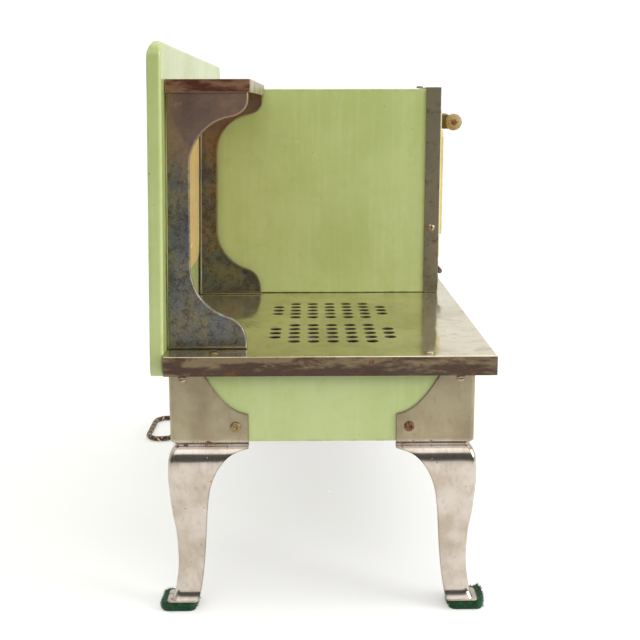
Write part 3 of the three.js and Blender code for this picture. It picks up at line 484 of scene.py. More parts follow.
def plated(name, bright, dull, stain, roughness, rust_from, mottling=0.8):
    """Old nickel plate: hazy, finely scratched, stained and pitted, and rusty where it wore through."""
    finish = Finish(name)
    haze = finish.noise(34, detail=7, rough=0.6)
    blotch = finish.noise(11, detail=8, rough=0.65, distortion=0.6)
    grain = finish.noise(1.3)
    tone = finish.stain(bright, dull, haze, 0.36, 0.66)
    tone = finish.stain(tone, stain, blotch, 0.5, 0.72, mottling)
    pit = finish.times(finish.rises(finish.cells(2.6), 0.14, 0.06), finish.rises(blotch, 0.42, 0.6, 0.5))
    tone = finish.mix(pit, tone, colour(48, 40, 34))
    rust = finish.rust(17, rust_from, 0.07, more=finish.edges(1.2, 0.09))
    tone = finish.mix(rust, tone, finish.mix(grain, colour(66, 40, 26), colour(138, 84, 50)))
    metallic = finish.blend(finish.most(rust, finish.times(pit, 0.7)), 0.9, 0.05)
    gloss = finish.blend(finish.rises(haze, 0.3, 0.7), *roughness)
    gloss = finish.plus(gloss, finish.rises(blotch, 0.5, 0.75, 0.16 * mottling))
    worn = finish.most(rust, pit)
    dents = finish.noise(22, detail=2)
    scratch = finish.noise(1.1, detail=3, stretch=(1, 0.06, 1))
    layers = (dents, 0.35), (grain, 0.008), (scratch, 0.01), (finish.rest(worn), 0.06)
    return finish.coat(tone, metallic, finish.blend(worn, gloss, 0.85), *layers)


def leg_plating():
    """Bright nickel on the legs; duller and browner on the flat corner plates above them; painted shade along
    the sheet's edges.
    """
    finish = Finish("leg_nickel")
    plate = finish.height(SKIRT_Z - 1.5, SKIRT_Z + 2.5)
    haze = finish.noise(26, detail=6)
    brushed = finish.noise(2.4, detail=5, stretch=(1, 1, 0.35))
    leg_tone = finish.stain(colour(202, 192, 182), colour(178, 164, 148), haze, 0.38, 0.68)
    plate_tone = finish.stain(colour(168, 156, 128), colour(148, 135, 110), haze, 0.38, 0.68)
    tone = finish.mix(plate, leg_tone, plate_tone)
    tone = finish.stain(tone, colour(124, 108, 88), brushed, 0.5, 0.75, 0.22)
    # painted shade: the edges of the pressed sheet are darkened to dark brown
    tone = finish.mix(finish.edges(1.6, 0.75), tone, colour(92, 70, 46))
    pits = finish.rises(finish.cells(4.2), 0.13, 0.07, 0.8)
    pits = finish.times(pits, finish.rises(finish.noise(8), 0.5, 0.62))
    ledge = finish.times(finish.height(SKIRT_Z - 9, SKIRT_Z - 2), finish.height(SKIRT_Z + 2, SKIRT_Z))
    ankle = finish.height(FOOT_Z + 9, FOOT_Z)
    damp = finish.times(finish.most(ledge, ankle), 0.13)
    worn = finish.most(pits, finish.rust(9, 0.67, more=damp))
    rusty = finish.mix(finish.noise(1.0), colour(74, 48, 32), colour(146, 92, 56))
    gloss = finish.plus(finish.blend(plate, 0.13, 0.34), finish.rises(haze, 0.4, 0.8, 0.1))
    dents = finish.noise(30, detail=2)
    metallic = finish.blend(plate, 1.0, 0.8)
    return finish.worn_coat(worn, rusty, tone, metallic, gloss, 0.8, (dents, 0.25), (brushed, 0.006))


def bracket_plating():
    """Slate-grey plate gone olive and brown, redder near the shelf, with a painted highlight along its turned
    edges.
    """
    finish = Finish("bracket_nickel")
    patches = finish.noise(26, detail=7, rough=0.62, distortion=0.5)
    mottle = finish.noise(5, detail=9, rough=0.75)
    grain = finish.noise(0.9)
    tone = finish.stain(colour(112, 118, 122), colour(130, 122, 96), patches, 0.4, 0.58)
    tone = finish.stain(tone, colour(72, 77, 82), finish.noise(40, detail=5), 0.48, 0.6, 0.6)
    tone = finish.stain(tone, colour(84, 68, 54), mottle, 0.45, 0.62, 0.75)
    tone = finish.stain(tone, colour(160, 148, 124), grain, 0.5, 0.68, 0.6)
    red = finish.mix(mottle, colour(118, 78, 64), colour(184, 144, 120))
    tone = finish.mix(finish.height(262, 312, 0.55), tone, red)
    # painted highlight: the rounded turned edges are lightened to pale cream
    tone = finish.mix(finish.edges(1.3, 0.75), tone, colour(206, 186, 140))
    rusty = finish.mix(grain, colour(70, 40, 28), colour(132, 80, 52))
    gloss = finish.blend(finish.rises(patches, 0.3, 0.7), 0.22, 0.42)
    gloss = finish.plus(gloss, finish.times(mottle, 0.16))
    dents = finish.noise(24, detail=2)
    rust = finish.rust(12, 0.64)
    return finish.worn_coat(rust, rusty, tone, 0.8, gloss, 0.85, (dents, 0.3), (mottle, 0.05))


def shelf_plating():
    """The shelf's faces turned towards -x, its near end, are coloured a darker reddish brown and less
    metallic; its front lip is pale.
    """
    finish = Finish("shelf_nickel")
    haze = finish.noise(14, detail=7, rough=0.65, stretch=(1, 0.6, 1))
    streaks = finish.noise(3, detail=6, stretch=(1, 0.2, 1))
    # the faces turned towards -x, the near end, are coloured darker reddish brown and made less metallic
    end = finish.rises(finish.facing((-1, 0, 0)), 0.5, 0.8)
    pale = finish.stain(colour(196, 188, 166), colour(150, 132, 104), haze, 0.4, 0.65)
    brown = finish.stain(colour(146, 108, 82), colour(92, 52, 38), streaks, 0.4, 0.62)
    tone = finish.mix(end, pale, brown)
    # painted highlight: the rounded edges are lightened to pale cream
    tone = finish.mix(finish.edges(1.0, 0.6), tone, colour(206, 184, 150))
    rusty = finish.mix(finish.noise(0.9), colour(70, 42, 30), colour(140, 86, 56))
    metallic, gloss = finish.blend(end, 0.9, 0.5), finish.blend(haze, 0.22, 0.46)
    dents = finish.noise(12, detail=2)
    rust = finish.rust(9, 0.62)
    return finish.worn_coat(rust, rusty, tone, metallic, gloss, 0.85, (dents, 0.25), (streaks, 0.03))


LEG_NICKEL = leg_plating()
BRACKET_NICKEL = bracket_plating()
SHELF_NICKEL = shelf_plating()
TRIM = (colour(162, 153, 130), colour(138, 128, 104), colour(92, 74, 54))
TRIM_NICKEL = plated("trim_nickel", *TRIM, (0.26, 0.44), 0.63)
EAR = (colour(150, 130, 88), colour(128, 108, 70), colour(92, 72, 46))
EAR_NICKEL = plated("ear_nickel", *EAR, (0.3, 0.45), 0.66)
SCREW = (colour(186, 172, 146), colour(150, 132, 104), colour(104, 78, 52))
SCREW_NICKEL = plated("screw_nickel", *SCREW, (0.25, 0.4), 0.66, 0.6)
STEEL = (colour(132, 126, 116), colour(104, 98, 88), colour(78, 66, 54))
BARE_STEEL = plated("bare_steel", *STEEL, (0.35, 0.55), 0.58)


def cooktop_finish():
    """The cooking surface: plate gone bronze with heat, painted dark inside its holes as shade, and rusty
    along its rim.
    """
    finish = Finish("cooktop_nickel")
    haze = finish.noise(60, detail=6)
    blotch = finish.noise(13, detail=8, rough=0.66, distortion=0.8)
    grain = finish.noise(1.2)
    streak = finish.noise(6, detail=5, stretch=(0.25, 1, 1))
    tone = finish.stain(colour(222, 213, 184), colour(200, 189, 156), haze, 0.35, 0.68)
    tone = finish.stain(tone, colour(146, 124, 88), blotch, 0.5, 0.75, 0.6)
    tone = finish.stain(tone, colour(220, 212, 190), streak, 0.55, 0.8, 0.35)
    below = finish.height(SURFACE_Z - 0.25, SURFACE_Z - 0.6)
    middle = at(sum(BURNER_X) / 2, BURNER_Y, 0)
    over = []
    for name, centre, reach in (("X", middle.x, 0.08), ("Y", middle.y, 0.052)):
        away = finish.maths("ABSOLUTE", finish.maths("SUBTRACT", finish.axis(name), centre))
        over.append(finish.rises(away, reach, reach - 0.002))
    inside = finish.times(*over)
    # painted shade: the walls of the burner holes, below the top surface, are darkened and dulled
    soot = finish.times(below, inside)
    rim = finish.times(below, finish.rest(inside))
    scuffs = finish.times(
        finish.rises(finish.noise(2.2, detail=6, rough=0.7, distortion=1.0), 0.56, 0.66),
        finish.rises(finish.noise(30), 0.5, 0.62),
    )
    tone = finish.mix(finish.times(scuffs, 0.7), tone, colour(84, 68, 50))
    tone = finish.mix(soot, tone, colour(74, 56, 42))
    drips = finish.noise(9, detail=7, rough=0.68, distortion=0.5, stretch=(1, 0.4, 1.6))
    stained = finish.plus(drips, finish.height(SURFACE_Z - 2, SURFACE_Z - RIM + 3, 0.16))
    rim_tone = finish.stain(colour(126, 108, 80), colour(64, 38, 30), stained, 0.46, 0.64)
    tone = finish.mix(finish.times(rim, 0.95), tone, rim_tone)
    rust = finish.rust(15, 0.65, more=finish.times(rim, 0.08))
    pits = finish.times(finish.rises(finish.cells(3.2), 0.12, 0.05, 0.8), finish.rises(blotch, 0.48, 0.62))
    worn = finish.most(rust, pits)
    rusty = finish.mix(grain, colour(60, 38, 26), colour(128, 82, 52))
    dull = finish.most(worn, soot)
    metallic = finish.blend(dull, finish.blend(rim, 0.9, 0.5), 0.1)
    gloss = finish.blend(finish.rises(haze, 0.3, 0.75), 0.07, 0.16)
    gloss = finish.plus(gloss, finish.rises(streak, 0.5, 0.8, 0.08))
    gloss = finish.blend(dull, finish.blend(rim, gloss, 0.45), 0.85)
    layers = (finish.noise(45, detail=2), 0.5), (grain, 0.006), (scuffs, 0.03), (finish.rest(worn), 0.06)
    return finish.coat(finish.mix(worn, tone, rusty), metallic, gloss, *layers)


COOKTOP_NICKEL = cooktop_finish()


def rusted_iron():
    """Iron rusted through and through, in light and dark scale."""
    finish = Finish("rusted_iron")
    coarse = finish.noise(1.6, detail=8, rough=0.7)
    tone = finish.stain(colour(70, 44, 30), colour(150, 98, 62), coarse, 0.35, 0.65)
    tone = finish.stain(tone, colour(48, 38, 32), finish.noise(0.7), 0.5, 0.7)
    metallic = finish.blend(finish.rises(coarse, 0.3, 0.5), 0.6, 0.0)
    return finish.coat(tone, metallic, 0.8, (coarse, 0.12), (finish.noise(0.4), 0.03))


def felt_wool():
    """Dark green wool felt: matted fibres, tufts, and a soft sheen."""
    finish = Finish("green_felt")
    tufts = finish.noise(2.2, detail=6, rough=0.7, distortion=1.2)
    hairs = finish.noise(0.5, detail=3, stretch=(1, 0.25, 1))
    tone = finish.stain(colour(10, 48, 26), colour(30, 88, 50), tufts, 0.35, 0.7)
    tone = finish.stain(tone, colour(52, 116, 74), hairs, 0.5, 0.75, 0.5)
    finish.set("Sheen Weight", 0.2)
    finish.set("Sheen Roughness", 0.4)
    return finish.coat(tone, 0.0, 0.95, (tufts, 0.5), (hairs, 0.15))


def turned_wood():
    """A varnished hardwood grip: grain along its length and dirt in the pores."""
    finish = Finish("turned_wood")
    grain = finish.noise(1.4, detail=6, rough=0.6, distortion=0.4, stretch=(0.08, 1, 1))
    pores = finish.noise(0.5, detail=3, stretch=(0.06, 1, 1))
    tone = finish.stain(colour(176, 150, 96), colour(128, 104, 62), grain, 0.3, 0.7)
    tone = finish.stain(tone, colour(78, 58, 36), pores, 0.55, 0.7, 0.6)
    gloss = finish.blend(finish.rises(pores, 0.5, 0.7), 0.42, 0.7)
    return finish.coat(tone, 0.0, gloss, (grain, 0.08), (pores, 0.05))


def ceramic_body():
    """Porous firebrick, browned and sooty with use."""
    finish = Finish("ceramic_body")
    speckle = finish.noise(1.1, detail=5)
    soot = finish.noise(12, detail=6)
    tone = finish.stain(colour(138, 100, 76), colour(104, 70, 52), speckle, 0.35, 0.7)
    tone = finish.stain(tone, colour(52, 38, 30), soot, 0.42, 0.7, 0.75)
    return finish.coat(tone, 0.0, 0.85, (speckle, 0.08))


def heating_wire():
    """Bars and wires with a dark scale from the heat."""
    finish = Finish("heating_wire")
    scale = finish.noise(1.8, detail=5)
    tone = finish.stain(colour(120, 112, 104), colour(66, 58, 54), scale, 0.35, 0.7)
    gloss = finish.blend(finish.rises(scale, 0.3, 0.7), 0.35, 0.65)
    return finish.coat(tone, 0.9, gloss, (scale, 0.03), (finish.noise(0.5), 0.01))


def moulded_brown():
    """Brown phenolic moulding: marbled, with a dulled polish."""
    finish = Finish("moulded_brown")
    marble = finish.noise(7, detail=6, distortion=1.5)
    tone = finish.stain(colour(52, 32, 24), colour(84, 50, 32), marble, 0.4, 0.65)
    wear = finish.noise(4, detail=5)
    gloss = finish.blend(finish.rises(wear, 0.35, 0.7), 0.25, 0.5)
    return finish.coat(tone, 0.0, gloss, (wear, 0.02), (finish.noise(0.6), 0.006))


def blade_brass():
    """Brass with brown tarnish, scratched along its length."""
    finish = Finish("blade_brass")
    tarnish = finish.noise(4, detail=6)
    tone = finish.stain(colour(206, 170, 96), colour(140, 104, 60), tarnish, 0.35, 0.7)
    gloss = finish.blend(finish.rises(tarnish, 0.3, 0.7), 0.22, 0.48)
    return finish.coat(tone, 1.0, gloss, (finish.noise(0.8, stretch=(1, 0.08, 1)), 0.012))


def braided_cotton():
    """Brown and black braid with cream tracer threads; the mesh says which thread is where."""
    finish = Finish("braided_cotton")
    thread = finish.add("Attribute", output="Fac", attribute_name="thread")
    fuzz = finish.noise(0.5, rough=0.7)
    dark = finish.mix(fuzz, colour(34, 26, 22), colour(72, 52, 38))
    brown = finish.mix(fuzz, colour(96, 70, 48), colour(140, 106, 74))
    cream = finish.mix(fuzz, colour(186, 164, 124), colour(226, 208, 168))
    tone = finish.stain(dark, brown, thread, 0.3, 0.5)
    tone = finish.stain(tone, cream, thread, 0.75, 0.9)
    finish.set("Sheen Weight", 0.25)
    return finish.coat(tone, 0.0, 0.9, (fuzz, 0.12))


RUSTED = rusted_iron()
FELT = felt_wool()
WOOD = turned_wood()
CERAMIC = ceramic_body()
WIRE = heating_wire()
BAKELITE = moulded_brown()
BRASS = blade_brass()
BRAID = braided_cotton()


# ---------------------------------------------------------------- supply cord

EXIT = (362.0, 106.3, 128.0)
FLOOR_Z = CORD_DIAMETER / 2 + 0.2
COIL = Vector((396.0, 32.0, 0.0))
TRACKS = ((29.5, 2.7), (24.5, 2.7), (24.5, 7.7), (29.5, 7.7), (24.5, 12.7), (29.5, 12.7))  # radius, height
TURN_PER_TRACK = 315.0
CHANGE = 40.0  # degrees over which the cord moves to the next track


def free_route():
    """From the grommet down to the floor, out behind the range in a loose bend and back under it."""
    falling = [
        EXIT, (362, 113, 127.5), (362, 120.5, 122.5), (362.3, 125, 112), (363.5, 126.5, 94), (366.5, 128, 68),
        (371.5, 130, 43), (379, 132.5, 24), (389, 135.5, 11), (399.5, 139, 4.5),
    ]
    lying = [
        (409.5, 143.6), (415.4, 147), (419.1, 152.1), (419.9, 158.4), (417.8, 164.3), (413.1, 168.5),
        (407, 170), (396, 170.2), (380, 170.3), (364, 170.3), (358.6, 169.1), (354.2, 165.7),
        (351.6, 160.8), (351.4, 155.3), (353.5, 150.2), (357.6, 146.4), (366, 141.5), (373.5, 134.8),
        (378.6, 125), (380, 112), (377.6, 98), (373.4, 86.5), (369, 80), (367.5, 75), (368.4, 69.2),
        (372, 64.5), (378, 61.6),
    ]
    return falling + [(x, y, FLOOR_Z) for x, y in lying]


def coil_route():
    """Neat turns, each on its own track; the changes of track are staggered, so no turn meets another."""
    points = []
    start = 90.0
    for i, (radius, height) in enumerate(TRACKS):
        last = i == len(TRACKS) - 1
        steady = TURN_PER_TRACK if last else TURN_PER_TRACK - CHANGE
        steps = round(steady / 12)
        for k in range(steps + 1):
            points.append((start - steady * k / steps, radius, height))
        if not last:
            next_radius, next_height = TRACKS[i + 1]
            for share in (1 / 3, 2 / 3):
                eased = share * share * (3 - 2 * share)
                angle = start - steady - CHANGE * share
                between = radius + (next_radius - radius) * eased
                points.append((angle, between, height + (next_height - height) * eased))
        start -= TURN_PER_TRACK
    spokes = [(math.radians(angle), radius, height) for angle, radius, height in points]
    return [(COIL.x + r * math.cos(a), COIL.y + r * math.sin(a), z) for a, r, z in spokes]


def tail_route():
    """From the top turn of the coil down to the plug that lies beside it."""
    return [
        (424.9, 8.5, 11.2), (421.6, 2.4, 9.5), (415.5, -2.2, 8.7), (408.8, -4.3, 9.3),
        (403.4, -7.6, 10.7), (400.4, -12.8, 12.1), (400, -17.7, 12.5), (400, -22.0, 12.7),
    ]


def braid_height(along, around):
    """(height, thread) of a two-way braid at a distance along the cord and an angle round it."""
    pitch, strands = 2.3, 5
    a = along / pitch + strands * around / (2 * math.pi)
    b = along / pitch - strands * around / (2 * math.pi)
    over = (math.floor(a) + math.floor(b)) % 2
    across = (a if over else b) % 1.0
    rise = math.sin(math.pi * across)
    strand = math.floor(a if over else b) % strands
    thread = 1.0 if strand == 0 else (0.6 if strand in (2, 3) and over else 0.1)
    return rise, thread


def make_cord():
    """One cord of its real length, braided, from the grommet to the plug."""
    middle = smooth_line(free_route() + coil_route() + tail_route(), 0.7)
    sides, radius, rib = 14, CORD_DIAMETER / 2, 0.22
    rings, threads = [], []
    along = 0.0
    across = Vector((0, 0, 1))
    for i, centre in enumerate(middle):
        ahead = (middle[min(i + 1, len(middle) - 1)] - middle[max(i - 1, 0)]).normalized()
        across = (across - ahead * across.dot(ahead)).normalized()
        third = ahead.cross(across)
        if i:
            along += (centre - middle[i - 1]).length
        ring = []
        for k in range(sides):
            angle = 2 * math.pi * k / sides
            rise, thread = braid_height(along, angle)
            reach = radius - rib + rib * rise
            ring.append(at(*(centre + (across * math.cos(angle) + third * math.sin(angle)) * reach)))
            threads.append(thread)
        rings.append(ring)
    piece = make_mesh("supply_cord", *loft(rings))
    attribute = piece.data.attributes.new("thread", "FLOAT", "POINT")
    attribute.data.foreach_set("value", threads)
    dress(piece, BRAID, replaces=("cord", "cord_coil", "cord_tail"))
    return piece, [at(*point) for point in middle]


def make_coil_tie():
    """A twisted wire tie round the coil's turns."""
    angle = math.radians(200)
    out = Vector((math.cos(angle), math.sin(angle), 0))
    up = Vector((0, 0, 1))
    side = out.cross(up)
    radii, heights = zip(*TRACKS)
    middle = COIL + out * (sum(radii) / len(radii)) + up * (sum(heights) / len(heights))
    outline = rounded_outline(-5.6, 5.6, -7.1, 8.1, 2.6, 6)
    wire = 0.55
    rings = []
    for i, (u, v) in enumerate(outline):
        before, after = outline[i - 1], outline[(i + 1) % len(outline)]
        ahead = (out * (after[0] - before[0]) + up * (after[1] - before[1])).normalized()
        across = ahead.cross(side)
        centre = middle + out * u + up * v
        rings.append([
            at(*(centre + (side * math.cos(a) * 2.2 + across * math.sin(a)) * wire))
            for a in (2 * math.pi * k / 10 for k in range(10))
        ])
    rings.append(rings[0])
    points, faces = loft(rings, caps=False)
    tie = make_mesh("coil_tie", points, faces)
    mesh = bmesh.new()
    mesh.from_mesh(tie.data)
    bmesh.ops.remove_doubles(mesh, verts=mesh.verts, dist=1e-7)
    mesh.to_mesh(tie.data)
    mesh.free()
    return dress(tie, BAKELITE)


PLUG = Vector((400.0, -18.0, 12.7))
PLUG_LENGTH = 36.0


def make_plug():
    """A round moulded plug: a tapered neck, a ribbed grip and a flat face."""
    radius, rib = 12.5, 12.3
    profile = [
        (0, 0), (2.9, 0), (3.8, 0.4), (4.2, 1.2), (4.4, 5), (5.0, 8.5), (6.6, 10.6), (9.0, 11.8),
        (10.8, 12.6), (11.9, 13.6), (rib, 15),
    ]
    for groove in (16.4, 20.2, 24.0):
        profile += [(rib, groove), (11.6, groove + 0.6), (11.6, groove + 1.8), (rib, groove + 2.4)]
    profile += [
        (radius, 28.5), (radius, PLUG_LENGTH - 1.2), (radius - 0.3, PLUG_LENGTH - 0.4),
        (radius - 1.1, PLUG_LENGTH), (0, PLUG_LENGTH),
    ]
    plug = turned("plug_moulding", profile, at(*PLUG), (0, -1, 0), 64)
    return dress(plug, BAKELITE, replaces=("plug_body",))


def make_blade(side):
    """A folded brass blade with rounded corners at its tip and a hole near it."""
    thickness, width, length, pitch = 1.5, 6.3, 16.0, 12.7
    x = PLUG.x + side * pitch / 2
    y1 = PLUG.y - PLUG_LENGTH - GAP
    outline = rounded_outline(y1 - length, y1, PLUG.z - width / 2, PLUG.z + width / 2, 1.1, 6)
    rings = [[at(x + dx, y, z) for y, z in outline] for dx in (-thickness / 2, thickness / 2)]
    name = "left" if side < 0 else "right"
    blade = make_mesh(f"brass_blade_{name}", *loft(rings), smooth=False)
    hole = turned("hole", [(1.5, -3), (1.5, 3)], at(x, y1 - length + 3.6, PLUG.z), (1, 0, 0), 24)
    cut_away(blade, hole)
    bevel(blade, 0.25, 2)
    return dress(blade, BRASS, replaces=(f"plug_blade_{name}",))


def make_strain_relief():
    """The rubber bush in the back apron: a collar and a ribbed nose that narrows to the cord."""
    profile = [
        (0, -4.6), (7.5, -4.6), (7.5, -2.6), (5.2, -2.6), (5.2, -1.0), (7.5, -1.0), (7.5, 0.2), (7.0, 0.8),
        (6.2, 1.2), (5.5, 1.5), (5.6, 2.3), (4.9, 2.7), (5.0, 3.5), (4.2, 3.9), (4.3, 4.7), (3.4, 5.2),
        (3.2, 6.0), (0, 6.0),
    ]
    bush = turned("strain_relief", profile, at(362, 100, 128), (0, 1, 0), 40)
    return dress(bush, BAKELITE, replaces=("cord_grommet",))


def make_supply():
    """The cord with everything on it."""
    cord, line = make_cord()
    parts = [make_plug(), make_blade(-1), make_blade(1), make_strain_relief(), make_coil_tie()]


# ---------------------------------------------------------------- stage and light


def make_floor():
    """A pale table top, lit from under like a photographer's, that fades into the white surroundings."""
    sides = [2 * math.pi * i / 96 for i in range(96)]
    rings = [[(r * math.cos(a), r * math.sin(a), 0.0) for a in sides] for r in (0.001, 0.6, 1.2, 2.4)]
    floor = make_mesh("floor", *loft(rings, caps=False))
    material = bpy.data.materials.new("pale_table")
    nodes = Nodes(material)
    matte = nodes.add("BsdfDiffuse", {"Color": (0.62, 0.62, 0.61, 1.0)})
    lit = nodes.add("Emission", {"Color": (1.0, 1.0, 0.98, 1.0), "Strength": 0.4})
    surface = nodes.add("AddShader", {0: matte, 1: lit})
    away = nodes.add("VectorMath", {0: nodes.add("TexCoord", output="Object")}, "Value", operation="LENGTH")
    fade = nodes.rises(away, 0.55, 1.5)
    mix = nodes.add("MixShader", {0: fade, 1: surface, 2: nodes.add("BsdfTransparent")})
    nodes.add("OutputMaterial", {0: mix})
    floor.data.materials.append(material)


def make_surroundings():
    """White to the eye; as light, bright above and beyond the range and dim low down at its left end."""
    world = bpy.data.worlds.new("studio")
    bpy.context.scene.world = world
    nodes = Nodes(world)
    seen = nodes.add("Background", {"Color": (1.0, 1.0, 1.0, 1.0), "Strength": 1.08})
    direction = nodes.add("TexCoord", output="Generated")
    beyond = nodes.rises(nodes.add("SeparateXYZ", {0: direction}, "X"), -0.75, 0.35)
    above = nodes.rises(nodes.add("SeparateXYZ", {0: direction}, "Z"), 0.17, 0.6)
    brightness = nodes.most(nodes.blend(beyond, 0.13, 1.0), above)
    tint = nodes.mix(brightness, (0.0, 0.0, 0.0, 1.0), (1.0, 0.995, 0.98, 1.0))
    light = nodes.add("Background", {"Color": tint, "Strength": 0.9})
    camera_ray = nodes.add("LightPath", output="Is Camera Ray")
    nodes.add("OutputWorld", {0: nodes.add("MixShader", {0: camera_ray, 1: light, 2: seen})})


def make_softbox(name, place, target, size, power):
    data = bpy.data.lights.new(name, "AREA")
    data.shape = "RECTANGLE"
    data.size, data.size_y = size
    data.energy = power
    lamp = bpy.data.objects.new(name, data)
    bpy.context.scene.collection.objects.link(lamp)
    lamp.location = place
    lamp.rotation_mode = "QUATERNION"
    lamp.rotation_quaternion = (Vector(target) - Vector(place)).to_track_quat("-Z", "Y")


def make_lights():
    middle = (0.0, 0.0, 0.18)
    make_softbox("overhead_softbox", (0.1, -0.2, 1.7), middle, (1.6, 1.6), 10)
    make_softbox("camera_softbox", (-1.9, -0.1, 1.5), middle, (2.4, 1.4), 9)
    make_softbox("front_softbox", (-0.7, -1.8, 0.85), middle, (1.2, 0.9), 27)


# ---------------------------------------------------------------- legs, felts and rivets

PLATE_WIDTH, PLATE_NECK = 49.1, 22.4
PLATE_RISE, NECK_RISE = 18.0, 42.5
BEND = 3.5
CORNERS = {
    "front_left": (SKIRT_X[0], SKIRT_Y[0], 1, 1),
    "front_right": (SKIRT_X[1], SKIRT_Y[0], -1, 1),
    "back_left": (SKIRT_X[0], SKIRT_Y[1], 1, -1),
    "back_right": (SKIRT_X[1], SKIRT_Y[1], -1, -1),
}

# How wide each wing of a leg is at shares of the height from foot to skirt, and how far its face stands out.
WING_EDGE = (
    (15.4, 0.01), (17.5, 0.09), (19.6, 0.24), (21.0, 0.4), (22.4, 0.57), (24.0, 0.69), (27.0, 0.785),
    (32.0, 0.866), (38.5, 0.923), (48.9, 0.956),
)
KNEE_LINE = (
    (2.4, 0.0), (1.3, 0.02), (0.0, 0.05), (-0.9, 0.1), (-2.4, 0.25), (-2.0, 0.38), (0.2, 0.55), (1.5, 0.69),
    (2.1, 0.785), (1.9, 0.856), (0.4, 0.933), (-2.6, 0.971),
)


def at_corner(corner, x, y, z):
    """A point given from a corner of the skirt, x and y running inwards, in the row frame."""
    corner_x, corner_y, turn_x, turn_y = CORNERS[corner]
    return at(corner_x + turn_x * x, corner_y + turn_y * y, z)


def along_curve(points, share):
    """The first value of a curve of (value, share) points where its second is share."""
    for a, b in zip(points, points[1:]):
        if share <= b.y:
            return a.x + (b.x - a.x) * (share - a.y) / max(b.y - a.y, 1e-6)
    return points[-1].x


def angle_section(out, reach, z, across=7, arc=6):
    """Two wings of sheet that meet in a round corner, seen from above, as one ring of points."""
    centre = BEND - out
    ring = [(centre + (reach - centre) * (1 - i / across), -out, z) for i in range(across)]
    for i in range(arc + 1):
        angle = 1.5 * math.pi - (i / arc) * (math.pi / 2)
        ring.append((centre + BEND * math.cos(angle), centre + BEND * math.sin(angle), z))
    ring += [(-out, centre + (reach - centre) * (i + 1) / across, z) for i in range(across)]
    inner = BEND - SHEET
    ring += [(SHEET - out, reach - (reach - centre) * i / across, z) for i in range(across)]
    for i in range(arc + 1):
        angle = math.pi + (i / arc) * (math.pi / 2)
        ring.append((centre + inner * math.cos(angle), centre + inner * math.sin(angle), z))
    ring += [(centre + (reach - centre) * (i + 1) / across, SHEET - out, z) for i in range(across)]
    return ring


def leg_sections():
    """(how far the face stands out, the wing's width, height) from the foot up to the cooktop."""
    height = SKIRT_Z - FOOT_Z
    knee = smooth_line([(x, y, 0) for x, y in KNEE_LINE], 0.01)
    edge = smooth_line([(x, y, 0) for x, y in WING_EDGE], 0.01)
    sections = [(2.4, 15.4, FOOT_Z)]
    steps = 60
    top = WING_EDGE[-1][1]
    for i in range(steps + 1):
        share = 0.01 + (top - 0.01) * i / steps
        sections.append((along_curve(knee, share), along_curve(edge, share), FOOT_Z + share * height))
    sections += [
        (-2.6, PLATE_WIDTH - 0.1, SKIRT_Z - 3.0), (-2.5, PLATE_WIDTH, SKIRT_Z - 2.2),
        (-1.8, PLATE_WIDTH, SKIRT_Z - 1.4), (-0.7, PLATE_WIDTH, SKIRT_Z - 0.6),
        (0.0, PLATE_WIDTH, SKIRT_Z + 0.4), (0.0, PLATE_WIDTH, SKIRT_Z + PLATE_RISE - 0.3),
    ]
    ogee = bezier(
        (PLATE_WIDTH, SKIRT_Z + PLATE_RISE), (PLATE_WIDTH - 11, SKIRT_Z + PLATE_RISE + 1),
        (PLATE_NECK + 8, SKIRT_Z + NECK_RISE - 13), (PLATE_NECK, SKIRT_Z + NECK_RISE), 24,
    )
    sections += [(0.0, width, z) for width, z in ogee]
    sections.append((0.0, PLATE_NECK, SURFACE_Z - SHEET - GAP))
    return sections


def make_leg(corner):
    """A cabriole leg pressed from sheet, one piece with the corner plate above it."""
    rings = [[at_corner(corner, *point) for point in angle_section(*section)] for section in leg_sections()]
    leg = make_mesh(f"cabriole_leg_{corner}", *loft(rings))
    bevel(leg, 0.28, 2, 50)
    dress(leg, LEG_NICKEL, replaces=(f"leg_{corner}",))
    make_foot_tab(corner)


def make_foot_tab(corner):
    """The tab at the foot that is turned outwards over the felt, drooping towards its rounded tip."""
    outline = rounded_outline(-3.0, 15.4, -5.0, 15.4, 3.0, 8)
    rings = []
    for lift in (0.0, SHEET):
        ring = []
        for x, y in outline:
            past = max(0.0, -min(x, y) - 1.0)
            ring.append(at_corner(corner, x, y, FOOT_Z + lift - 0.06 * past))
        rings.append(ring)
    tab = make_mesh(f"foot_tab_{corner}", *loft(rings))
    bevel(tab, 0.4, 3)
    dress(tab, LEG_NICKEL)


def make_fuzz(felt, corner):
    """Loose fibres that stand out of a pad's sides and upper edge, as thin bent slivers."""
    dice = random.Random(corner)

    def jitter(reach):
        return Vector([dice.uniform(-reach, reach) for _ in range(3)])

    mesh = bmesh.new()
    mesh.from_mesh(felt.data)
    mesh.normal_update()
    roots = [(v.co.copy(), v.normal.copy()) for v in mesh.verts if v.co.z > 0.6 * MM and v.normal.z < 0.85]
    for _ in range(900):
        root, normal = dice.choice(roots)
        ahead = (normal + jitter(0.8)).normalized()
        side = ahead.cross(jitter(1)).normalized() * 0.16 * MM
        middle = root + ahead * dice.uniform(0.5, 1.0) * MM
        bent = jitter(1) * 0.7
        tip = middle + (ahead + bent).normalized() * dice.uniform(0.5, 1.3) * MM
        middle.z, tip.z = max(middle.z, 0.1 * MM), max(tip.z, 0.1 * MM)
        inner = root - normal * 0.2 * MM
        ends = (inner - side, inner + side, middle + side * 0.6, middle - side * 0.6, tip)
        corners = [mesh.verts.new(p) for p in ends]
        mesh.faces.new(corners[:4])
        mesh.faces.new((corners[3], corners[2], corners[4]))
    mesh.to_mesh(felt.data)
    mesh.free()


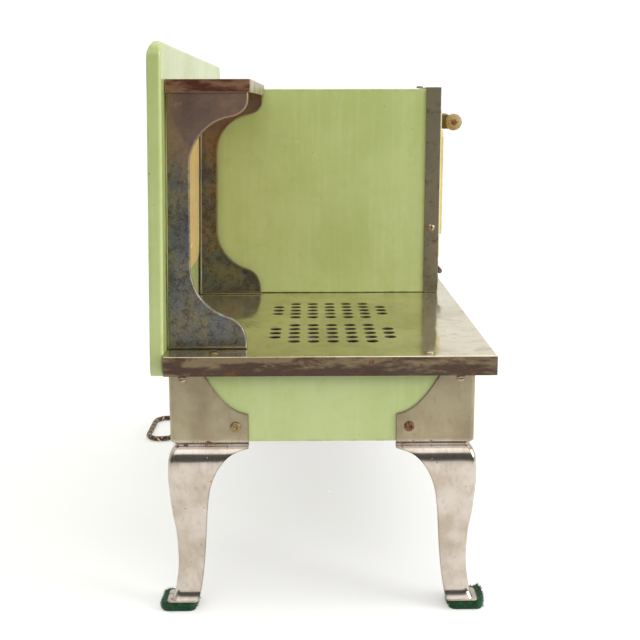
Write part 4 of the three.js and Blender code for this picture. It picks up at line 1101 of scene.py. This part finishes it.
def make_felt(corner, torn):
    """A square of thick felt under a foot, matted and fraying; one is torn and curls up past the foot."""
    x0, y0 = -FELT_PAST_END, -FELT_PAST_SIDE
    outline = rounded_outline(x0, x0 + FELT_SIZE, y0, y0 + FELT_SIZE, FELT_RADIUS, 6)
    dense = []
    for (xa, ya), (xb, yb) in zip(outline, outline[1:] + outline[:1]):
        steps = max(1, round(math.hypot(xb - xa, yb - ya) / 0.7))
        dense += [(xa + (xb - xa) * i / steps, ya + (yb - ya) * i / steps) for i in range(steps)]
    middle_x, middle_y = x0 + FELT_SIZE / 2, y0 + FELT_SIZE / 2
    layers = (
        (0.0, 0.95), (0.08, 0.985), (0.2, 1.0), (0.35, 1.01), (0.5, 1.0), (0.65, 1.01), (0.8, 0.995),
        (0.92, 0.97), (0.98, 0.94), (1.0, 0.88), (1.0, 0.7), (1.0, 0.45), (1.0, 0.2),
    )
    phase = sum(map(ord, corner))
    rings = []
    for level, share in layers:
        ring = []
        for x, y in dense:
            spot = Vector((x * 0.35 + phase, y * 0.35, level * 2))
            fray = 0.7 * noise.noise(spot) + 0.35 * noise.noise(spot * 4)
            grow = share + (fray * 0.07 if level > 0 and share > 0.85 else 0)
            px, py = middle_x + (x - middle_x) * grow, middle_y + (y - middle_y) * grow
            z = FELT_THICKNESS * level
            outside = max(0.0, -py - 2.5)
            if torn and level > 0:
                ragged = 1 + 0.5 * noise.noise(Vector((px * 0.5, 4.0, level * 3)))
                z += 0.06 * outside ** 2 * ragged * (0.5 + level)
            elif outside > 2.5:
                z += 0.5 * level * noise.noise(spot * 2)
            ring.append(at_corner(corner, px, py, max(0.0, z)))
        rings.append(ring)
    felt = make_mesh(f"felt_pad_{corner}", *loft(rings))
    make_fuzz(felt, corner)
    dress(felt, FELT, replaces=(f"foot_felt_{corner}",))


def make_rivet(corner, place, rusty):
    """A tubular rivet head: a flattened dome with a hollow in its middle."""
    reach, rise = 40.9, SKIRT_Z + 9.8
    if place == "long":
        start, direction = at_corner(corner, reach, 0, rise), (0, -CORNERS[corner][3], 0)
    else:
        start, direction = at_corner(corner, 0, reach, rise), (-CORNERS[corner][2], 0, 0)
    hollow = 0.25 if rusty else 0.75
    profile = [
        (0, -3.3), (2.4, -3.3), (2.4, -2.6), (1.5, -2.5), (1.5, GAP), (3.1, GAP), (3.2, 0.5), (3.1, 0.85),
        (2.8, 1.15), (2.3, 1.38), (1.8, 1.45), (1.4, 1.38), (1.15, 1.1), (1.0, 1.38 - hollow),
        (0, 1.35 - hollow),
    ]
    rivet = turned(f"rivet_{corner}_{place}", profile, start, direction, 32)
    finish, slot = (RUSTED, "bare_steel") if rusty else (EAR_NICKEL, "tarnished_nickel")
    dress(rivet, finish, replaces=(f"leg_rivet_{corner}_{place}",))


def make_base():
    """Legs, felts and rivets at the four corners, and the skirt between them."""
    for corner in CORNERS:
        make_leg(corner)
        make_felt(corner, torn=corner == "front_left")
        for place in ("long", "short"):
            make_rivet(corner, place, rusty=corner.startswith("front"))
    for node in ("base_front", "base_back", "base_left", "base_right"):
        soften(node, 0.3)
        paint(GREEN_ENAMEL, node)
    paint(BARE_STEEL, "base_bottom")
    soften("base_bottom", 0.2)


# ---------------------------------------------------------------- cooktop

BURNER_PITCH, HOLE_RADIUS = 12.7, 4.0
COLUMNS = (3, 5, 5, 5, 5, 5, 3)


def hole_centres():
    """(x, y) of every burner hole."""
    for centre_x in BURNER_X:
        for column, count in enumerate(COLUMNS):
            y = BURNER_Y + (column - (len(COLUMNS) - 1) / 2) * BURNER_PITCH
            for row in range(count):
                yield centre_x + (row - (count - 1) / 2) * BURNER_PITCH, y


def turned_down_plate(name, x0, x1, seam_high):
    """A plate whose edges are turned down round a small radius, but for the edge at the seam."""
    rings = [(inset, SURFACE_Z - drop) for inset, drop in rolled_edge(1.0, 5)] + [(0.0, SURFACE_Z - RIM)]

    def outline(inset):
        low = x0 + (inset if seam_high else 0)
        high = x1 - (0 if seam_high else inset)
        front, back = FRONT_Y + inset, BACK_Y - inset
        return [(low, front), (high, front), (high, back), (low, back)]

    skin = [[at(x, y, z) for x, y in outline(inset)] for inset, z in rings]
    points, faces = loft(skin, caps=False)
    faces.append((0, 1, 2, 3))
    seam = (1, 2) if seam_high else (3, 0)
    faces = [f for f in faces if not (len(f) == 4 and {i % 4 for i in f} == set(seam))]
    return sheet(make_mesh(name, points, faces))


def make_cooktop():
    """The burner half with its holes, and the half under the oven, with a seam between them."""
    left = turned_down_plate("burner_top", 0.0, SEAM_X - GAP / 2, True)
    right = turned_down_plate("oven_bed", SEAM_X + GAP / 2, WIDTH, False)
    cutters = [
        turned(f"hole_{i}", [(HOLE_RADIUS, -4), (HOLE_RADIUS, 3)], at(x, y, SURFACE_Z), (0, 0, 1), 28)
        for i, (x, y) in enumerate(hole_centres())
    ]
    cut_away(left, join_meshes("holes", cutters))
    for plate, node in ((left, "cooktop_plate"), (right, "oven_base_plate")):
        plate.data.shade_smooth()
        bevel(plate, 0.25, 2, 40)
        dress(plate, COOKTOP_NICKEL, replaces=(node,))


def join_meshes(name, pieces):
    """One mesh object that holds all the pieces' faces, in place of them."""
    mesh = bmesh.new()
    for piece in pieces:
        mesh.from_mesh(piece.data)
        bpy.data.objects.remove(piece)
    data = bpy.data.meshes.new(name)
    mesh.to_mesh(data)
    mesh.free()
    joined = bpy.data.objects.new(name, data)
    bpy.context.scene.collection.objects.link(joined)
    return joined


def make_burners():
    """The tray, ceramic core and heating wire under each cluster of holes."""
    for side in ("left", "right"):
        paint(RUSTED, f"burner_tray_{side}")
        paint(CERAMIC, f"burner_ceramic_{side}")
        paint(WIRE, f"burner_coil_{side}")
        soften(f"burner_tray_{side}", 0.2)
        soften(f"burner_ceramic_{side}", 0.6)
        soften(f"burner_coil_{side}", 0.1, 1, 60)


# ---------------------------------------------------------------- oven and door


def make_oven():
    """Finishes and soft edges for the oven's CAD nodes."""
    paint(GREEN_ENAMEL, "oven_wrap")
    paint(DOOR_ENAMEL, "oven_door")
    paint(CREAM_ENAMEL, "oven_door_panel")
    paint(TRIM_NICKEL, "oven_front_frame", "door_hinge_leaf")
    paint(EAR_NICKEL, "door_handle_ear_left", "door_handle_ear_right")
    paint(BARE_STEEL, "oven_back", "oven_floor", "oven_rack_ledge_left", "oven_rack_ledge_right")
    paint(BARE_STEEL, "door_hinge_pin", "door_catch", "oven_element_clip_left", "oven_element_clip_right")
    paint(WIRE, "oven_rack")
    paint(CERAMIC, "oven_element")
    soften("oven_wrap", 0.7, 3)
    soften("oven_front_frame", 0.5, 3)
    soften("oven_door", 0.5, 3, 20)
    soften("oven_door_panel", 0.5, 3)
    pairs = [f"{name}_{side}" for name in ("door_handle_ear", "oven_rack_ledge", "oven_element_clip")
             for side in ("left", "right")]
    for node in pairs + ["door_hinge_leaf", "oven_back", "oven_floor", "door_catch", "oven_element"]:
        soften(node, 0.2)
    soften("oven_rack", 0.2, 1, 50)
    soften("door_hinge_pin", 0.15, 1, 60)


GRIP = Vector((321.6, -111.4, 304.5))


def make_grip():
    """The turned wooden grip: a thinner middle between two rounded ends, with a nail in each end."""
    length, end, waist = 70.0, 7.1, 5.0
    shape = [(0, 0), (end * 0.3, 0.05), (end * 0.62, 0.6), (end * 0.86, 1.6), (end * 0.97, 2.8), (end, 3.8),
             (end * 0.985, 4.7), (end * 0.9, 5.5), (waist * 1.04, 6.1), (waist, 6.9)]
    neck = shape[-1][1]
    middle = []
    for share in (i / 12 for i in range(1, 12)):
        middle.append((waist + 0.5 * math.sin(math.pi * share), neck + (length - 2 * neck) * share))
    profile = shape + middle + [(radius, length - along) for radius, along in reversed(shape)]
    start = at(GRIP.x - length / 2, GRIP.y, GRIP.z)
    grip = turned("wooden_grip", profile, start, (1, 0, 0), 48)
    dress(grip, WOOD, body="oven_door_body", replaces=("door_handle_grip",))
    for side in (-1, 1):
        head = [(0, -1.5), (1.3, -1.5), (2.3, 0.0), (2.4, 0.25), (1.9, 0.5), (0, 0.62)]
        name = "left" if side < 0 else "right"
        place = at(GRIP.x + side * length / 2, GRIP.y, GRIP.z)
        nail = turned(f"grip_nail_{name}", head, place, (side, 0, 0), 24)
        dress(nail, RUSTED, body="oven_door_body")


# ---------------------------------------------------------------- back panel, shelf and brackets


def leaning(x, y, z):
    """A point on the back panel, which leans forward as it rises from the cooking surface."""
    return at(x, y - LEAN * (z - SURFACE_Z), z)


def make_back_panel():
    """A shallow enamelled pan: round corners, and edges that turn backwards round a small radius."""
    x0, x1, z0, z1 = 6.0, 424.0, 153.5, 355.5
    depth, top_depth, corner = 8.4, 4.9, 9.0

    def outline(inset):
        return rounded_outline(x0 + inset, x1 - inset, z0 + inset, z1 - inset, corner - inset, 12)

    def flange(z):
        """How deep the turned edge is at a height: narrower along the top than down the sides."""
        share = min(1.0, max(0.0, (z - (z1 - corner)) / corner))
        return depth - (depth - top_depth) * share * share

    rings = []
    for inset, drop in rolled_edge(2.2, 6):
        rings.append([leaning(x, PANEL_Y + drop, z) for x, z in outline(inset)])
    rings.append([leaning(x, PANEL_Y + flange(z), z) for x, z in outline(0.0)])
    panel = pan("enamel_back", rings)
    bevel(panel, 0.2, 2, 50)
    dress(panel, GREEN_ENAMEL, replaces=("back_panel",))
    paint(CREAM_ENAMEL, "back_panel_inset")
    soften("back_panel_inset", 0.25)


BRACKET_Z = (SURFACE_Z + GAP, 334.0 - SHEET - GAP)
BRACKET_BACK_Y = PANEL_Y - GAP - 0.6 - GAP


def bracket_outline():
    """The ogee edge as (y, z), from the back of the head down to the back of the foot."""
    low, high = BRACKET_Z
    height = high - low
    head, post, foot = 52.3, 87.4, 51.9

    def curve(tip, steps, *shares):
        """A curve through shares of the way from a tip to the post, and of the bracket's height."""
        return bezier(*[(tip + across * (post - tip), low + up * height) for across, up in shares], steps)

    outline = [(BRACKET_BACK_Y, high), (head, high)]
    outline += curve(head, 14, (0, 0.94), (0, 0.9), (0.13, 0.875), (0.34, 0.869))
    outline += curve(head, 20, (0.34, 0.869), (0.6, 0.861), (1, 0.8), (1, 0.696))
    outline += curve(foot, 20, (1, 0.33), (1, 0.222), (0.71, 0.148), (0.3, 0.121))
    outline += curve(foot, 14, (0.3, 0.121), (0.13, 0.108), (0, 0.075), (0, 0.004))
    outline += [(foot, low), (BRACKET_BACK_Y, low)]
    tidy = [outline[0]]
    for point in outline[1:]:
        if math.dist(point, tidy[-1]) > 0.3:
            tidy.append(point)
    return tidy


def moved_in(outline, inset):
    """The outline with every side moved inwards; it runs anticlockwise seen along x."""
    moved = []
    for i, (y, z) in enumerate(outline):
        before, after = outline[i - 1], outline[(i + 1) % len(outline)]
        a = Vector((y - before[0], z - before[1])).normalized()
        b = Vector((after[0] - y, after[1] - z)).normalized()
        normal_a, normal_b = Vector((-a.y, a.x)), Vector((-b.y, b.x))
        shift = (normal_a + normal_b) / max(1.0 + normal_a.dot(normal_b), 0.4)
        moved.append((y + shift.x * inset, z + shift.y * inset))
    return moved


def make_bracket(name, x0, side):
    """One pressed sheet: every edge turned round, deep along its back and foot and shallow along the ogee."""
    outline = bracket_outline()
    deep, shallow = 7.0, 2.6

    def flange(y, z):
        along_back = y > BRACKET_BACK_Y - 0.5
        along_foot = z < BRACKET_Z[0] + 0.5
        return deep if along_back or along_foot else shallow

    rings = []
    for inset, drop in rolled_edge(1.3, 5):
        rings.append([leaning(x0 + side * drop, y, z) for y, z in moved_in(outline, inset)])
    rings.append([leaning(x0 + side * flange(y, z), y, z) for y, z in outline])
    plate = pan(f"{name}_plate", rings, 0.9)
    bevel(plate, 0.2, 2, 50)
    dress(plate, BRACKET_NICKEL, replaces=(name,))


def make_back():
    make_back_panel()
    make_bracket("shelf_bracket_left", 20.0, 1)
    make_bracket("shelf_bracket_right", 221.3, -1)
    paint(SHELF_NICKEL, "warming_shelf")
    soften("warming_shelf", 0.6, 3)


# ---------------------------------------------------------------- screws


def make_screw(name, centre, direction, radius, dome, slot_turn, finish=TRIM_NICKEL):
    """A slotted round-head screw."""
    profile = [
        (0, -0.6), (radius * 0.9, -0.6), (radius, 0.0), (radius * 0.95, dome * 0.4),
        (radius * 0.75, dome * 0.8), (radius * 0.4, dome * 0.98), (0, dome),
    ]
    screw = turned(name, profile, centre, direction, 32)
    forward = Vector(direction).normalized()
    side = forward.orthogonal().normalized()
    side.rotate(Matrix.Rotation(slot_turn, 3, forward))
    third = forward.cross(side)
    length, width = radius + 1, radius * 0.14
    base = centre + forward * (dome * 0.35) * MM
    corners = [side * (u * length) + third * (v * width) for u, v in ((-1, -1), (1, -1), (1, 1), (-1, 1))]
    rings = [[base + (c + forward * h) * MM for c in corners] for h in (0, dome + 1)]
    slot_cut = make_mesh("slot", *loft(rings), smooth=False)
    cut_away(screw, slot_cut)
    screw.data.shade_smooth()
    bevel(screw, 0.08, 1, 40)
    dress(screw, finish)


def make_screws():
    """The screws of the cooktop, the oven's trim and the corner plates, these half hidden by the rim."""
    top = SURFACE_Z + 0.2
    make_screw("top_screw_back", at(9.6, 71.8, top), (0, 0, 1), 3.0, 1.0, 0.3, EAR_NICKEL)
    make_screw("top_screw_front", at(8.4, -61.1, top), (0, 0, 1), 3.0, 1.0, 1.2)
    make_screw("trim_screw", at(220.2, -85.5, 222.0), (-1, 0, 0), 3.0, 1.2, 2.2, SCREW_NICKEL)
    make_screw("oven_top_screw", at(225.0, -75.0, 332.5), (0, 0, 1), 2.6, 1.0, 0.5)
    for end, direction in ((SKIRT_X[0], -1), (SKIRT_X[1], 1)):
        for y in (91.3, -80.6):
            name = f"plate_screw_{'left' if direction < 0 else 'right'}_{'back' if y > 0 else 'front'}"
            make_screw(name, at(end, y, 153.7), (direction, 0, 0), 2.7, 1.1, 0.9, SCREW_NICKEL)


# ---------------------------------------------------------------- assembly

make_camera()
make_supply()
make_floor()
make_surroundings()
make_lights()
make_base()
make_cooktop()
make_burners()
make_oven()
make_grip()
make_back()
make_screws()

bpy.context.scene.view_settings.view_transform = "Standard"
